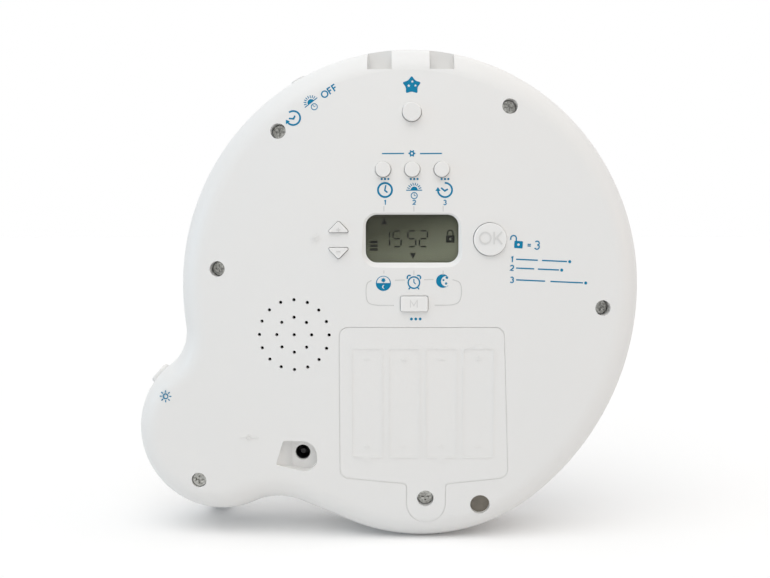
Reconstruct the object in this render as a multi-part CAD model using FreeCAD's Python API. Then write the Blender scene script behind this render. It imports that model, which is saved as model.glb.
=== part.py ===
import FreeCAD, Part
import functools
import math
import os
from FreeCAD import Vector

os.makedirs("parts", exist_ok=True)

# Kids' alarm clock with a night light, standing upright. Millimetres.
# The back, with the keys, faces -Y. The front, with the lamp, faces +Y. +Z is up, and the floor is z = 0.
# Features are placed by x and z from the disc's centre line and by y from the joint of the two shells.
# TO_ORIGIN moves them when they are saved, so that the origin is the middle of the rear pad's underside.

# Housing outline, seen from the back
HALF_WIDTH = 91.7
TOP_HEIGHT = 94.4
LOWER_SIDE_SHIFT = 18.1
BOTTOM_CENTRE_X = 4.5
BOTTOM_RADIUS = 73.3
LOBE_X = -77.5
LOBE_Z = -58.9
LOBE_RADIUS = 33.3
ARCH_RADIUS = 23.0
ARCH_ANGLE = -63.6
NECK_RADIUS = 17.1

# Housing depth
APEX_Y = -31.0
APEX_Z = -4.0
DOME_RADIUS = 650.0
REAR_EDGE_RADIUS = 11.0
FRONT_FACE_Y = 23.0
FRONT_EDGE_RADIUS = 10.0
WALL = 2.4
GAP = 0.3
SKIN_DEPTH = 0.5
HOLE_END_Y = -21.0

# Feet
FOOT_SHOW = 0.3
FOOT_RECESS = 0.7
FOOT_HALF_WIDTH = 8.0
REAR_FOOT_Y = (-14.0, -2.0)
FRONT_FOOT_Y = (3.0, 16.0)
LEG_X = -84.0
LEG_HALF_WIDTH = 5.0
LEG_ROOT_Y = 12.0
LEG_ROOT_HEIGHT = 5.2
LEG_TOE_Y = (27.8, 31.1)
LEG_TOE_HEIGHT = 4.0
LEG_TOP = (21.5, 20.0)
LEG_ROUNDING = 0.6
LEG_PAD = 1.0
LEG_PAD_INSET = 0.5

# Keys
KEY_TRAVEL = 0.8
KEY_GAP = 0.2
KEY_FLANGE = 1.2
KEY_FLANGE_THICKNESS = 1.0
KEY_ROUNDING = 0.4
KEY_CLEARANCE = 0.3
ROUND_KEYS = {
    "star_button": (0.9, 68.2, 3.7, 2.4),
    "time_button": (-10.3, 45.8, 3.0, 2.4),
    "wake_button": (1.0, 45.8, 3.0, 2.4),
    "nap_button": (12.5, 45.8, 3.0, 2.4),
    "ok_button": (31.3, 18.6, 6.4, 1.5),
}
ARROW_WIDTH = 8.8
ARROW_RISE = 4.6
ARROW_CORNER = 0.9
ARROW_BASE_CORNER = 0.5
ARROW_HEIGHT = 1.3
ARROW_X = -27.7
PLUS_BASE_Z = 21.3
MINUS_BASE_Z = 15.4
MODE_X = 1.8
MODE_Z = -6.5
MODE_SIZE = (10.7, 6.0)
MODE_CORNER = 0.8
MODE_HEIGHT = 1.5

# Display
LCD_X = 1.0
LCD_Z = 18.9
WINDOW_SIZE = (36.2, 18.7)
WINDOW_CORNER = 4.4
WINDOW_Y = -28.6
WINDOW_THICKNESS = 1.0
BEVEL_SIZE = (40.2, 22.2)
BEVEL_DROP = -0.3
BEVEL_DEPTH = 1.2
BEVEL_CORNER = 5.9
LCD_SIZE = (41.0, 23.0)
LCD_Y = -27.4
LCD_THICKNESS = 2.6
LCD_FIT = 0.2
LCD_CORNER = 0.8
SEAT_CORNER = 1.0
HOLDER_WALL = 1.5
HOLDER_LEDGE = 1.0
HOLDER_TOP_Y = -26.6
ZEBRA_THICKNESS = 2.0
ZEBRA_LENGTH = 36.0

# Main board
BOARD_Y = -17.0
BOARD_THICKNESS = 1.6
BOARD_X = (-36.0, 40.0)
BOARD_Z = (-11.0, 54.0)
TONGUE_HALF_WIDTH = 9.0
TONGUE_TOP = 76.0
BOARD_POSTS = ((-32.0, 50.0), (36.0, 50.0), (-32.0, 1.0), (36.0, -7.0))
BOARD_POST_RADIUS = 2.8
BOARD_SCREW_HEAD = (2.5, 1.6)
BOARD_SCREW_SHANK = 1.0
BOARD_SCREW_TIP_Y = -21.5
CHIPS = (
    (4.0, 22.0, 12.0, 12.0, 1.4),
    (-12.0, 36.0, 5.0, 4.0, 1.2),
    (18.0, 8.0, 6.0, 5.0, 1.6),
    (-8.0, 8.0, 8.0, 3.6, 2.6),
)
CAPACITORS = ((26.0, 34.0), (-22.0, 32.0), (30.0, 4.0))
CAPACITOR_RADIUS = 2.5
CAPACITOR_HEIGHT = 7.0
SWITCH_SIZE = 6.0
SWITCH_BODY = 3.4
PLUNGER_RADIUS = 1.6
PLUNGER_LENGTH = 1.0

# Loudspeaker
SPEAKER_X = -45.3
SPEAKER_Z = -18.8
GRILLE_HOLE_RADIUS = 0.65
GRILLE_RINGS = ((0.0, 1), (6.9, 8), (13.8, 16))
SPEAKER_RADIUS = 17.0
SPEAKER_FACE_Y = -25.2
SPEAKER_SEAT_RADIUS = 15.2
SPEAKER_CUP_RADIUS = 18.8
SPEAKER_CUP_Y = -21.0
SPEAKER_FIT = 0.3
GASKET_THICKNESS = 1.0
BASKET_RIM = 1.2
BASKET_DEPTH = 5.0
BASKET_BACK_RADIUS = 13.0
CONE_RADIUS = 14.5
CONE_HOLE_RADIUS = 5.0
CONE_THICKNESS = 0.5
MAGNET_RADIUS = 9.0
MAGNET_DEPTH = 5.5

# Power inlet
JACK_X = -42.9
JACK_Z = -67.1
POCKET_FLOOR_Y = -20.5
POCKET_LEFT_TOP = -50.2
POCKET_LEFT_LOW = -53.3
POCKET_RIGHT = -36.7
POCKET_TOP = -61.4
POCKET_LOW_LEFT = -71.4
POCKET_LOW_RIGHT = -74.9
POCKET_RADII = (0.8, 5.0, 6.0, 1.0)
POCKET_WALL = 1.8
RAMP_FOOT_X = -47.2
JACK_HOLE_RADIUS = 3.0
JACK_BORE_RADIUS = 2.8
JACK_PIN_RADIUS = 1.0
JACK_PIN_SETBACK = 0.8
JACK_BODY = (9.0, 11.0, 13.0)
JACK_BORE_DEPTH = 9.5
JACK_RIB = 1.4
JACK_RIB_DEPTH = 7.0

# Battery bay
DOOR_LEFT = -27.7
DOOR_RIGHT_TOP = 37.1
DOOR_RIGHT_BOTTOM = 39.3
DOOR_TOP = -15.6
DOOR_CORNER_Z = -76.3
DOOR_SHOULDER_Z = -78.7
DOOR_RADIUS = 3.6
TAB_X = 6.6
TAB_HALF_WIDTH = 7.9
TAB_BOTTOM = -94.6
TAB_SHOULDER_RADIUS = 1.6
ROUND_END_SHARE = 0.99
DOOR_THICKNESS = 2.0
DOOR_GAP = 0.25
DOOR_LOW_GAP = 0.45
LEDGE_THICKNESS = 1.4
BAY_X = 5.2
BAY_HALF_WIDTH = 29.8
BAY_TOP = -17.6
BAY_BOTTOM = -74.2
BAY_FLOOR_Y = -9.2
BAY_WALL = 1.5
BAY_CORNER = 1.0
HINGE_TAB_OFFSET = 20.0
HINGE_TAB_WIDTH = 8.0
HINGE_TAB_Y = (-27.4, -25.8)
HINGE_TAB_REACH = 3.0
HINGE_NECK_Z = (-20.0, -16.1)
HINGE_SLOT_CLEAR = 0.5
HINGE_SLOT_Z = (-20.6, -11.6)
HINGE_SLOT_Y = -23.0
CELL_RADIUS = 7.15
CELL_PITCH = 14.7
CELL_LENGTH = 49.0
CELL_NUB_RADIUS = 2.7
CELL_NUB = 1.5
CELL_AXIS_Y = -16.8
CELL_OFFSETS = (-1.5, -0.5, 0.5, 1.5)
CONTACT_THICKNESS = 0.4
CONTACT_HALF_WIDTH = 4.5
CONTACT_HALF_HEIGHT = 5.0
CONTACT_STRIP = 2.0
CONTACT_TAG_WIDTH = 3.0
CONTACT_TAG_RISE = 3.0
CONTACT_TAG_Y = -12.0

# Door screw
DOOR_SCREW_X = 6.4
DOOR_SCREW_Z = -84.6
DOOR_SCREW_HEAD = (2.9, 1.8)
DOOR_SCREW_SHANK = 1.5
DOOR_SCREW_SEAT_Y = -20.3
DOOR_SCREW_TIP_Y = -14.0
DOOR_CUP_RADIUS = 4.6
DOOR_CUP_BORE = 3.3
DOOR_CUP_FLOOR = 1.2
DOOR_BOSS_Y = -17.8
DOOR_BOSS_LENGTH = 8.0
DOOR_BOSS_BORE = 2.7
DOOR_RECESS_RADIUS = 5.7
DOOR_RECESS_DROP = 0.6
DOOR_CLIP = (2.6, 0.6)

# Case screws
CASE_SCREWS = ((-51.6, 61.1), (39.3, 70.6), (-75.9, 7.0), (76.1, -8.4), (-85.0, -78.6))
PLUG_SCREW = (28.2, -87.2)
SCREW_RECESS = 3.05
PLUG_RECESS = 3.9
SCREW_SEAT_Y = -17.5
SCREW_HEAD = (2.75, 2.0)
SCREW_SHANK = 1.5
SCREW_TIP_Y = -4.0
TOWER_RADIUS = 5.2
TOWER_END_Y = -14.5
BOSS_RADIUS = 3.8
BOSS_END_Y = -14.3
PLUG_Y = (-21.2, -19.7)
CROSS_WIDTH = 0.8
CROSS_LENGTH = 3.2
CROSS_DEPTH = 1.1
CROSS_SHARE = 0.6
SCREW_FIT = 0.2

# Rim details
NOTCHES = ((-16.6, -7.0), (7.9, 17.6))
NOTCH_FLOOR_Z = 85.2
NOTCH_BACK_Y = -15.0
SLIDE_ANGLE = 119.9
SLIDE_TRAVEL = 4.0
SLIDE_Y = -7.0
KNOB_SIZE = (6.0, 4.0)
KNOB_SHOW = 1.8
KNOB_PLATE = (25.0, 7.2, 1.0)
KNOB_PIN_RADIUS = 0.9
KNOB_PIN_DEPTH = 1.5
SLIDE_BODY = (20.0, 7.0, 7.0)
SLIDE_BODY_DROP = 5.7
SLIDE_GROOVE = (14.0, 2.4, 2.2)
LIGHT_KEY_ANGLE = 138.4
LIGHT_KEY_Y = -9.8
LIGHT_KEY_SIZE = (9.0, 6.6)
LIGHT_KEY_SHOW = 1.4
LIGHT_KEY_DROP = 0.8
LIGHT_KEY_STEM = 1.5
LIGHT_FLANGE = (11.4, 7.6)
LIGHT_BOARD = (12.0, 10.0)
LIGHT_RIB_END_Y = -2.0

# Joint of the two shells
LIP_DEPTH = 2.0
LIP_GAP = 0.2
LIP_THICKNESS = 1.0

# Night light
LAMP_X = 0.0
LAMP_Z = -3.5
LAMP_RADIUS = 69.0
LENS_FIT = 0.2
LENS_FLANGE = 2.0
FLANGE_THICKNESS = 1.8
LAMP_RIM_Y = 22.0
LAMP_APEX_Y = 31.0
LENS_THICKNESS = 2.0
SUN = (-27.0, 20.0)
SUN_RADII = (15.5, 11.5)
SUN_POINTS = 12
SUN_CORNER = 0.6
MOON = (24.0, -24.0)
MOON_RADIUS = 16.0
MOON_BITE = (15.5, -17.5)
MOON_BITE_RADIUS = 12.5
INSERT_PROUD = 0.8
INSERT_FIT = 0.1
INSERT_SHARE = 0.6
LOBE_LENS_RADIUS = 14.0
LOBE_LENS_APEX_Y = 26.5
REFLECTOR_Y = 6.4
REFLECTOR_RIM_RADIUS = 68.0
CUP_RADIUS = 16.0
CUP_WALL = 1.2
LAMP_SCREW_CIRCLE = 75.5
LAMP_SCREW_ANGLES = (45.0, 135.0, 225.0, 315.0)
LAMP_BOSS_RADIUS = 3.0
LAMP_SCREW = (1.9, 1.2, 1.0, 3.8)
REFLECTOR_THICKNESS = 1.2
REFLECTOR_BASE_RADIUS = 48.0
LED_BOARD_Y = 3.0
LED_BOARD_RADIUS = 46.0
LED_SIZE = 5.0
LED_HEIGHT = 1.6
LED_HOLE_RADIUS = 3.9
LED_RING_RADIUS = 40.0
LED_RING_ANGLES = (15.0, 75.0, 105.0, 195.0, 255.0, 285.0)
POST_CIRCLE = 30.0
POST_ANGLES = (45.0, 170.0, 260.0)
POST_RADIUS = 2.5
LOBE_BOARD_Y = 8.0
LOBE_BOARD_SIZE = (50.0, 12.0)
LOBE_BOARD_ANGLE = 105.0
LOBE_POST = 22.0

# Wires. Their bends are points of x, y and z.
LEAD_RADIUS = 0.5
LEAD_PITCH = 2.0
LEAD_ARC_SHARE = 0.45
LEAD_LEVEL = -11.5
PAD_Z = -8.0
SPEAKER_LEAD_RADIUS = 11.0
SPEAKER_LEADS = ((38.0, -31.0, -6.0), (56.0, -34.0, -3.5))
LAMP_LEAD = ((20.0, -9.0, 30.0), (26.0, -4.0, 24.0))
LOBE_LEAD = ((-31.0, 0.3, -28.0), (-60.0, 0.3, -50.0), (-76.0, 2.0, -57.0))
LIGHT_KEY_LEAD_END = (-80.0, 2.0, -49.0)
SLIDE_LEAD_END = (-24.0, -9.0, 49.0)
SLIDE_LEAD_STRAIGHT = 8.0
JACK_LEAD_Y = -3.0
JACK_LEAD = ((-34.0, -3.0, -38.0), (-30.0, -6.0, -9.0))


def polar(centre, radius, degrees):
    """Point at an angle on a circle of the XZ plane."""
    a = math.radians(degrees)
    return centre[0] + radius * math.cos(a), centre[1] + radius * math.sin(a)


def bearing(start, end):
    """Angle in degrees from one point to another."""
    return math.degrees(math.atan2(end[1] - start[1], end[0] - start[0]))


def circles_meet(c1, r1, c2, r2, side):
    """One of the two points at distance r1 from c1 and r2 from c2."""
    d = math.dist(c1, c2)
    along = (r1 * r1 - r2 * r2 + d * d) / (2 * d)
    across = side * math.sqrt(r1 * r1 - along * along)
    ux, uz = (c2[0] - c1[0]) / d, (c2[1] - c1[1]) / d
    return c1[0] + along * ux - across * uz, c1[1] + along * uz + across * ux


def housing_arcs():
    """The outline as tangent arcs: centre, radius, start and end angle, and +1 if convex.
    One straight run joins the arch to the bottom."""
    shift = (TOP_HEIGHT - HALF_WIDTH) / (2 - math.sqrt(2))
    side, lower = HALF_WIDTH + shift, HALF_WIDTH + LOWER_SIDE_SHIFT
    left_low, right_low = (LOWER_SIDE_SHIFT, 0.0), (-LOWER_SIDE_SHIFT, 0.0)
    reach = lower - BOTTOM_RADIUS
    drop = math.sqrt(reach**2 - (BOTTOM_CENTRE_X + LOWER_SIDE_SHIFT) ** 2)
    bottom = (BOTTOM_CENTRE_X, -drop)
    lobe = (LOBE_X, LOBE_Z)
    neck = circles_meet(left_low, lower + NECK_RADIUS, lobe, LOBE_RADIUS + NECK_RADIUS, -1)
    arch = polar(lobe, LOBE_RADIUS + ARCH_RADIUS, ARCH_ANGLE)
    lean = math.degrees(math.acos((BOTTOM_RADIUS + ARCH_RADIUS) / math.dist(bottom, arch)))
    line = bearing(bottom, arch) + lean
    joint = bearing(right_low, bottom)
    neck_low = bearing(lobe, neck)
    return [
        ((-shift, 0.0), side, 0.0, 45.0, 1),
        ((0.0, shift), TOP_HEIGHT - shift, 45.0, 135.0, 1),
        ((shift, 0.0), side, 135.0, 180.0, 1),
        (left_low, lower, 180.0, bearing(left_low, neck) % 360, 1),
        (neck, NECK_RADIUS, bearing(neck, left_low), neck_low - 180.0, -1),
        (lobe, LOBE_RADIUS, neck_low, 360.0 + ARCH_ANGLE, 1),
        (arch, ARCH_RADIUS, 180.0 + ARCH_ANGLE, (line + 180.0) % 360, -1),
        (bottom, BOTTOM_RADIUS, line % 360 - 360.0, joint, 1),
        (right_low, lower, joint, 0.0, 1),
    ]


def housing_face(inset, y):
    """The housing's outline, moved inwards by inset, as a face at depth y."""
    ends = []
    for centre, radius, start, end, sign in housing_arcs():
        angles = (start, (start + end) / 2, end)
        places = [polar(centre, radius - sign * inset, angle) for angle in angles]
        ends.append([Vector(x, y, z) for x, z in places])
    edges = []
    for i, (first, middle, last) in enumerate(ends):
        edges.append(Part.Arc(first, middle, last).toShape())
        following = ends[(i + 1) % len(ends)][0]
        if last.distanceToPoint(following) > 1:
            edges.append(Part.LineSegment(last, following).toShape())
            continue
        ends[(i + 1) % len(ends)][0] = last
    edges = Part.sortEdges(edges)[0]
    return Part.Face(Part.Wire(edges))


def prism(face, y0, y1):
    """A face lying at y = 0, as a solid between two depths."""
    solid = face.extrude(Vector(0, y1 - y0, 0))
    solid.translate(Vector(0, y0, 0))
    return solid


def box(x0, x1, y0, y1, z0, z1):
    return Part.makeBox(x1 - x0, y1 - y0, z1 - z0, Vector(x0, y0, z0))


def rod(x, z, radius, y0, y1):
    """A cylinder along Y."""
    return Part.makeCylinder(radius, y1 - y0, Vector(x, y0, z), Vector(0, 1, 0))


def ring(x, z, outer, inner, y0, y1):
    return rod(x, z, outer, y0, y1).cut(rod(x, z, inner, y0 - 1, y1 + 1))


def fuse(shapes):
    shapes = list(shapes)
    return shapes[0].multiFuse(shapes[1:]).removeSplitter() if len(shapes) > 1 else shapes[0]


def rounded_face(points, radii):
    """A polygon in the XZ plane at y = 0 with rounded corners, its points in order."""
    corners = []
    count = len(points)
    for i, (x, z) in enumerate(points):
        here = Vector(x, 0, z)
        before = Vector(points[i - 1][0], 0, points[i - 1][1])
        after = Vector(points[(i + 1) % count][0], 0, points[(i + 1) % count][1])
        a, b = (before - here).normalize(), (after - here).normalize()
        half = a.getAngle(b) / 2
        middle = (a + b).normalize()
        radius = radii[i]
        back = radius / math.tan(half)
        bulge = middle * (radius / math.sin(half) - radius)
        corners.append((here + a * back, here + bulge, here + b * back))
    edges = []
    for i, (first, middle, last) in enumerate(corners):
        edges.append(Part.Arc(first, middle, last).toShape())
        following = corners[(i + 1) % count][0]
        if last.distanceToPoint(following) > 0.001:
            edges.append(Part.LineSegment(last, following).toShape())
    return Part.Face(Part.Wire(edges))


def rounded_rectangle(x, z, width, height, radius):
    w, h = width / 2, height / 2
    points = [(x - w, z - h), (x + w, z - h), (x + w, z + h), (x - w, z + h)]
    return rounded_face(points, [radius] * 4)


def dome_y(x, z):
    """Depth of the back's outer surface."""
    return APEX_Y + DOME_RADIUS - math.sqrt(DOME_RADIUS**2 - x * x - (z - APEX_Z) ** 2)


@functools.lru_cache(maxsize=None)
def rear_block(inset, y_end=0.0):
    """The rear half of the housing as one block, its skin moved inwards by inset."""
    block = prism(housing_face(inset, 0.0), FAR_BACK, y_end)
    ball = Part.makeSphere(DOME_RADIUS - inset, Vector(0, APEX_Y + DOME_RADIUS, APEX_Z))
    slab = box(-REACH, REACH, FAR_BACK - 1, y_end + 1, -REACH, REACH)
    block = block.common(ball.common(slab)).Solids[0]
    back = min(block.Faces, key=lambda face: face.CenterOfMass.y)
    return block.makeFillet(REAR_EDGE_RADIUS - inset, back.OuterWire.Edges)


@functools.lru_cache(maxsize=None)
def front_block(inset, y_start=0.0):
    """The front half of the housing as one block."""
    block = prism(housing_face(inset, 0.0), y_start, FRONT_FACE_Y - inset)
    front = max(block.Faces, key=lambda face: face.CenterOfMass.y)
    return block.makeFillet(FRONT_EDGE_RADIUS - inset, front.OuterWire.Edges)


def save(name, shape):
    """Writes one sub-part, moved so that the origin is the middle of the rear pad's underside."""
    solids = shape.Solids
    shape = Part.makeCompound(solids) if len(solids) > 1 else solids[0].copy()
    shape.translate(TO_ORIGIN)
    shape.exportStep(os.path.join("parts", name + ".step"))


def turned(shape, centre, degrees):
    """A shape built pointing along +X, moved to a centre and turned to an angle in the XZ plane."""
    shape = shape.copy()
    shape.rotate(Vector(0, 0, 0), ALONG_Y, -degrees)
    shape.translate(Vector(centre[0], 0, centre[1]))
    return shape


def skin(face, outer, inner):
    """The layer of the back between two depths below its surface, over a face."""
    layer = rear_block(outer).cut(rear_block(inner, 1.0))
    return layer.common(prism(face, FAR_BACK, 0.0))


def circle_face(x, z, radius):
    return Part.Face(Part.Wire(Part.makeCircle(radius, Vector(x, 0, z), ALONG_Y)))


def revolved(x, z, profile):
    """A solid turned about a line along Y from points of radius and depth."""
    points = [Vector(x + radius, y, z) for radius, y in profile]
    face = Part.Face(Part.makePolygon(points + points[:1]))
    return face.revolve(Vector(x, 0, z), ALONG_Y, 360)


def upright_slot(x0, x1, width, height, y):
    """A stadium standing in the YZ plane, run from x0 to x1."""
    half = (width - height) / 2
    parts = [box(x0, x1, y - height / 2, y + height / 2, -half, half)]
    for z in (-half, half):
        parts.append(Part.makeCylinder(height / 2, x1 - x0, Vector(x0, y, z), Vector(1, 0, 0)))
    return fuse(parts)


def screw(x, z, seat_y, tip_y, head, shank):
    """A screw with a cross in its head. It points along +Y, from its seat to its tip."""
    radius, height = head
    solid = rod(x, z, radius, seat_y - height, seat_y).fuse(rod(x, z, shank, seat_y, tip_y))
    half, long_half = CROSS_WIDTH / 2, min(CROSS_LENGTH / 2, radius * CROSS_SHARE)
    top, floor = seat_y - height - 1, seat_y - height + min(CROSS_DEPTH, height * CROSS_SHARE)
    cross = box(x - half, x + half, top, floor, z - long_half, z + long_half)
    cross = cross.fuse(box(x - long_half, x + long_half, top, floor, z - half, z + half))
    return solid.cut(cross).removeSplitter()


def arrow_face(base_z, sign):
    """A flat triangle that points up or down."""
    half = ARROW_WIDTH / 2
    points = [(ARROW_X - half, base_z), (ARROW_X + half, base_z), (ARROW_X, base_z + sign * ARROW_RISE)]
    radii = [ARROW_BASE_CORNER, ARROW_BASE_CORNER, ARROW_CORNER]
    return rounded_face(points[::sign], radii[::sign])


@functools.lru_cache(maxsize=None)
def key_table():
    """Every key on the back: its name, face, centre and height."""
    table = []
    for name, (x, z, radius, height) in ROUND_KEYS.items():
        table.append((name, circle_face(x, z, radius), x, z, height))
    plus_z, minus_z = PLUS_BASE_Z + ARROW_RISE / 2, MINUS_BASE_Z - ARROW_RISE / 2
    table.append(("plus_button", arrow_face(PLUS_BASE_Z, 1), ARROW_X, plus_z, ARROW_HEIGHT))
    table.append(("minus_button", arrow_face(MINUS_BASE_Z, -1), ARROW_X, minus_z, ARROW_HEIGHT))
    mode = rounded_rectangle(MODE_X, MODE_Z, *MODE_SIZE, MODE_CORNER)
    table.append(("mode_button", mode, MODE_X, MODE_Z, MODE_HEIGHT))
    return table


def make_key(face, x, z, height):
    """A key: a cap through the shell, a flange that keeps it in, and a stem that ends above its switch."""
    flange_face = face.makeOffset2D(KEY_FLANGE)
    size = flange_face.BoundBox
    away = math.hypot(x, z - APEX_Z)
    grow = 1 + max(size.XLength, size.ZLength) / 2 / away
    flange_y = dome_y(x * grow, APEX_Z + (z - APEX_Z) * grow) + WALL + KEY_CLEARANCE
    flange_end = flange_y + KEY_FLANGE_THICKNESS
    top = dome_y(x, z) - height
    cap = prism(face, top, flange_end)
    top_face = min(cap.Faces, key=lambda f: f.CenterOfMass.y)
    cap = cap.makeFillet(KEY_ROUNDING, top_face.Edges)
    stem = rod(x, z, PLUNGER_RADIUS, flange_end, SWITCH_TOP_Y - SWITCH_FREE)
    return fuse([cap, prism(flange_face, flange_y, flange_end), stem])


def door_face(gap, low_gap):
    """The battery door's outline, with its screw tab, drawn in by a gap."""
    low_corner, shoulder, tab_end = (z + low_gap for z in (DOOR_CORNER_Z, DOOR_SHOULDER_Z, TAB_BOTTOM))
    tab_half = TAB_HALF_WIDTH - gap
    points = [
        (DOOR_LEFT + gap, DOOR_TOP - gap),
        (DOOR_LEFT + gap, low_corner),
        (TAB_X - tab_half, shoulder),
        (TAB_X - tab_half, tab_end),
        (TAB_X + tab_half, tab_end),
        (TAB_X + tab_half, shoulder),
        (DOOR_RIGHT_BOTTOM - gap, low_corner),
        (DOOR_RIGHT_TOP - gap, DOOR_TOP - gap),
    ]
    radii = [DOOR_RADIUS] * len(points)
    radii[2] = radii[5] = TAB_SHOULDER_RADIUS
    radii[3] = radii[4] = tab_half * ROUND_END_SHARE
    return rounded_face(points, radii)


def bay_face(grow=0.0):
    """The inside of the battery bay, seen from behind."""
    width, height = 2 * BAY_HALF_WIDTH + 2 * grow, BAY_TOP - BAY_BOTTOM + 2 * grow
    return rounded_rectangle(BAY_X, (BAY_TOP + BAY_BOTTOM) / 2, width, height, BAY_CORNER + grow)


def hinge_tabs(clear):
    """The x ranges of the door's two top tabs, with a clearance at their sides."""
    half = HINGE_TAB_WIDTH / 2 + clear
    middles = (BAY_X - HINGE_TAB_OFFSET, BAY_X + HINGE_TAB_OFFSET)
    return [(x - half, x + half) for x in middles]


def pocket_face():
    points = [
        (POCKET_LEFT_LOW, POCKET_LOW_LEFT),
        (POCKET_RIGHT, POCKET_LOW_RIGHT),
        (POCKET_RIGHT, POCKET_TOP),
        (POCKET_LEFT_TOP, POCKET_TOP),
    ]
    return rounded_face(points, POCKET_RADII)


def pocket_space():
    """The space of the power inlet's pocket, which a ramp closes at its left."""
    x0, low, high = POCKET_LEFT_LOW - 1, POCKET_LOW_RIGHT - 1, POCKET_TOP + 1
    corners = [(x0, dome_y(x0, JACK_Z)), (RAMP_FOOT_X, POCKET_FLOOR_Y), (x0, POCKET_FLOOR_Y + 1)]
    corners = [Vector(x, y, low) for x, y in corners]
    ramp = Part.Face(Part.makePolygon(corners + corners[:1])).extrude(Vector(0, 0, high - low))
    return prism(pocket_face(), FAR_BACK, POCKET_FLOOR_Y).cut(ramp)


def led_point(angle):
    return polar((LAMP_X, LAMP_Z), LED_RING_RADIUS, angle)


def lobe_board_point(along):
    return polar((LOBE_X, LOBE_Z), along, LOBE_BOARD_ANGLE)


def screw_towers():
    """Rear shell: the towers of the case screws."""
    added, removed = [], []
    for (x, z), recess in [(place, SCREW_RECESS) for place in CASE_SCREWS] + [(PLUG_SCREW, PLUG_RECESS)]:
        added.append(rod(x, z, TOWER_RADIUS, FAR_BACK, TOWER_END_Y).common(rear_block(SKIN_DEPTH)))
        removed.append(rod(x, z, recess, FAR_BACK, SCREW_SEAT_Y))
        removed.append(rod(x, z, SCREW_SHANK + SCREW_FIT, FAR_BACK, TOWER_END_Y + 1))
    return added, removed


def battery_opening():
    """Rear shell: the ledge round the door, the bay, the hinge slots and the boss of the door's screw."""
    below_door = DOOR_THICKNESS + GAP
    x, z = DOOR_SCREW_X, DOOR_SCREW_Z
    recess_z = z - DOOR_RECESS_DROP
    opening = door_face(0.0, 0.0)
    ledge = skin(door_face(-LEDGE_THICKNESS, -LEDGE_THICKNESS), below_door, below_door + LEDGE_THICKNESS)
    bay = prism(bay_face(BAY_WALL), FAR_BACK, BAY_FLOOR_Y + BAY_WALL).common(rear_block(below_door))
    cup = rod(x, recess_z, DOOR_RECESS_RADIUS + DOOR_CUP_FLOOR, FAR_BACK, DOOR_BOSS_Y + DOOR_CUP_FLOOR)
    boss = rod(x, z, DOOR_CUP_RADIUS, DOOR_BOSS_Y, DOOR_BOSS_Y + DOOR_BOSS_LENGTH)
    added = [ledge, bay, cup.common(rear_block(below_door)), boss]
    removed = [
        prism(opening, FAR_BACK, 0.0).cut(rear_block(below_door, 1.0)),
        prism(bay_face(), FAR_BACK, BAY_FLOOR_Y),
        rod(x, recess_z, DOOR_RECESS_RADIUS, FAR_BACK, DOOR_BOSS_Y),
        rod(x, z, DOOR_BOSS_BORE, FAR_BACK, DOOR_BOSS_Y + DOOR_BOSS_LENGTH + 1),
    ]
    for x0, x1 in hinge_tabs(HINGE_SLOT_CLEAR):
        removed.append(box(x0, x1, FAR_BACK, HINGE_SLOT_Y, HINGE_SLOT_Z[0], DOOR_TOP))
        above = box(x0, x1, FAR_BACK, HINGE_SLOT_Y, DOOR_TOP, HINGE_SLOT_Z[1])
        removed.append(above.common(rear_block(WALL)))
    half, thick = (CONTACT_TAG_WIDTH + GAP) / 2, (CONTACT_THICKNESS + GAP) / 2
    for i in (0, -1):
        tag_x = BAY_X + CELL_OFFSETS[i] * CELL_PITCH
        slot = box(tag_x - half, tag_x + half, CONTACT_TAG_Y - thick, CONTACT_TAG_Y + thick,
                   BAY_TOP, BAY_TOP + CONTACT_TAG_RISE)
        removed.append(slot)
    return added, removed


def display_opening():
    """Rear shell: the bevelled window opening, and the flat seat behind it."""
    window = rounded_rectangle(LCD_X, LCD_Z, *WINDOW_SIZE, WINDOW_CORNER)
    bevel = rounded_rectangle(LCD_X, LCD_Z + BEVEL_DROP, *BEVEL_SIZE, BEVEL_CORNER)
    lip_y = dome_y(LCD_X, LCD_Z)
    inner, outer = window.OuterWire, bevel.OuterWire
    inner.translate(Vector(0, lip_y + BEVEL_DEPTH, 0))
    outer.translate(Vector(0, lip_y - GAP, 0))
    seat = rounded_rectangle(LCD_X, LCD_Z, LCD_SIZE[0] + 2 * LCD_FIT, LCD_SIZE[1] + 2 * LCD_FIT, SEAT_CORNER)
    removed = [
        prism(rounded_rectangle(LCD_X, LCD_Z, *WINDOW_SIZE, WINDOW_CORNER), FAR_BACK, WINDOW_Y + 1),
        Part.makeLoft([outer, inner], True, True),
        prism(seat, WINDOW_Y, LCD_Y + LCD_THICKNESS),
    ]
    return [], removed


def key_holes():
    """Rear shell: the holes of the keys."""
    return [], [prism(face.makeOffset2D(KEY_GAP), FAR_BACK, HOLE_END_Y) for _, face, _, _, _ in key_table()]


def board_posts():
    """Rear shell: the posts that carry the main board."""
    within = rear_block(SKIN_DEPTH)
    added = [rod(x, z, BOARD_POST_RADIUS, FAR_BACK, BOARD_Y).common(within) for x, z in BOARD_POSTS]
    return added, [rod(x, z, BOARD_SCREW_SHANK, BOARD_SCREW_TIP_Y - 1, BOARD_Y + 1) for x, z in BOARD_POSTS]


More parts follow.
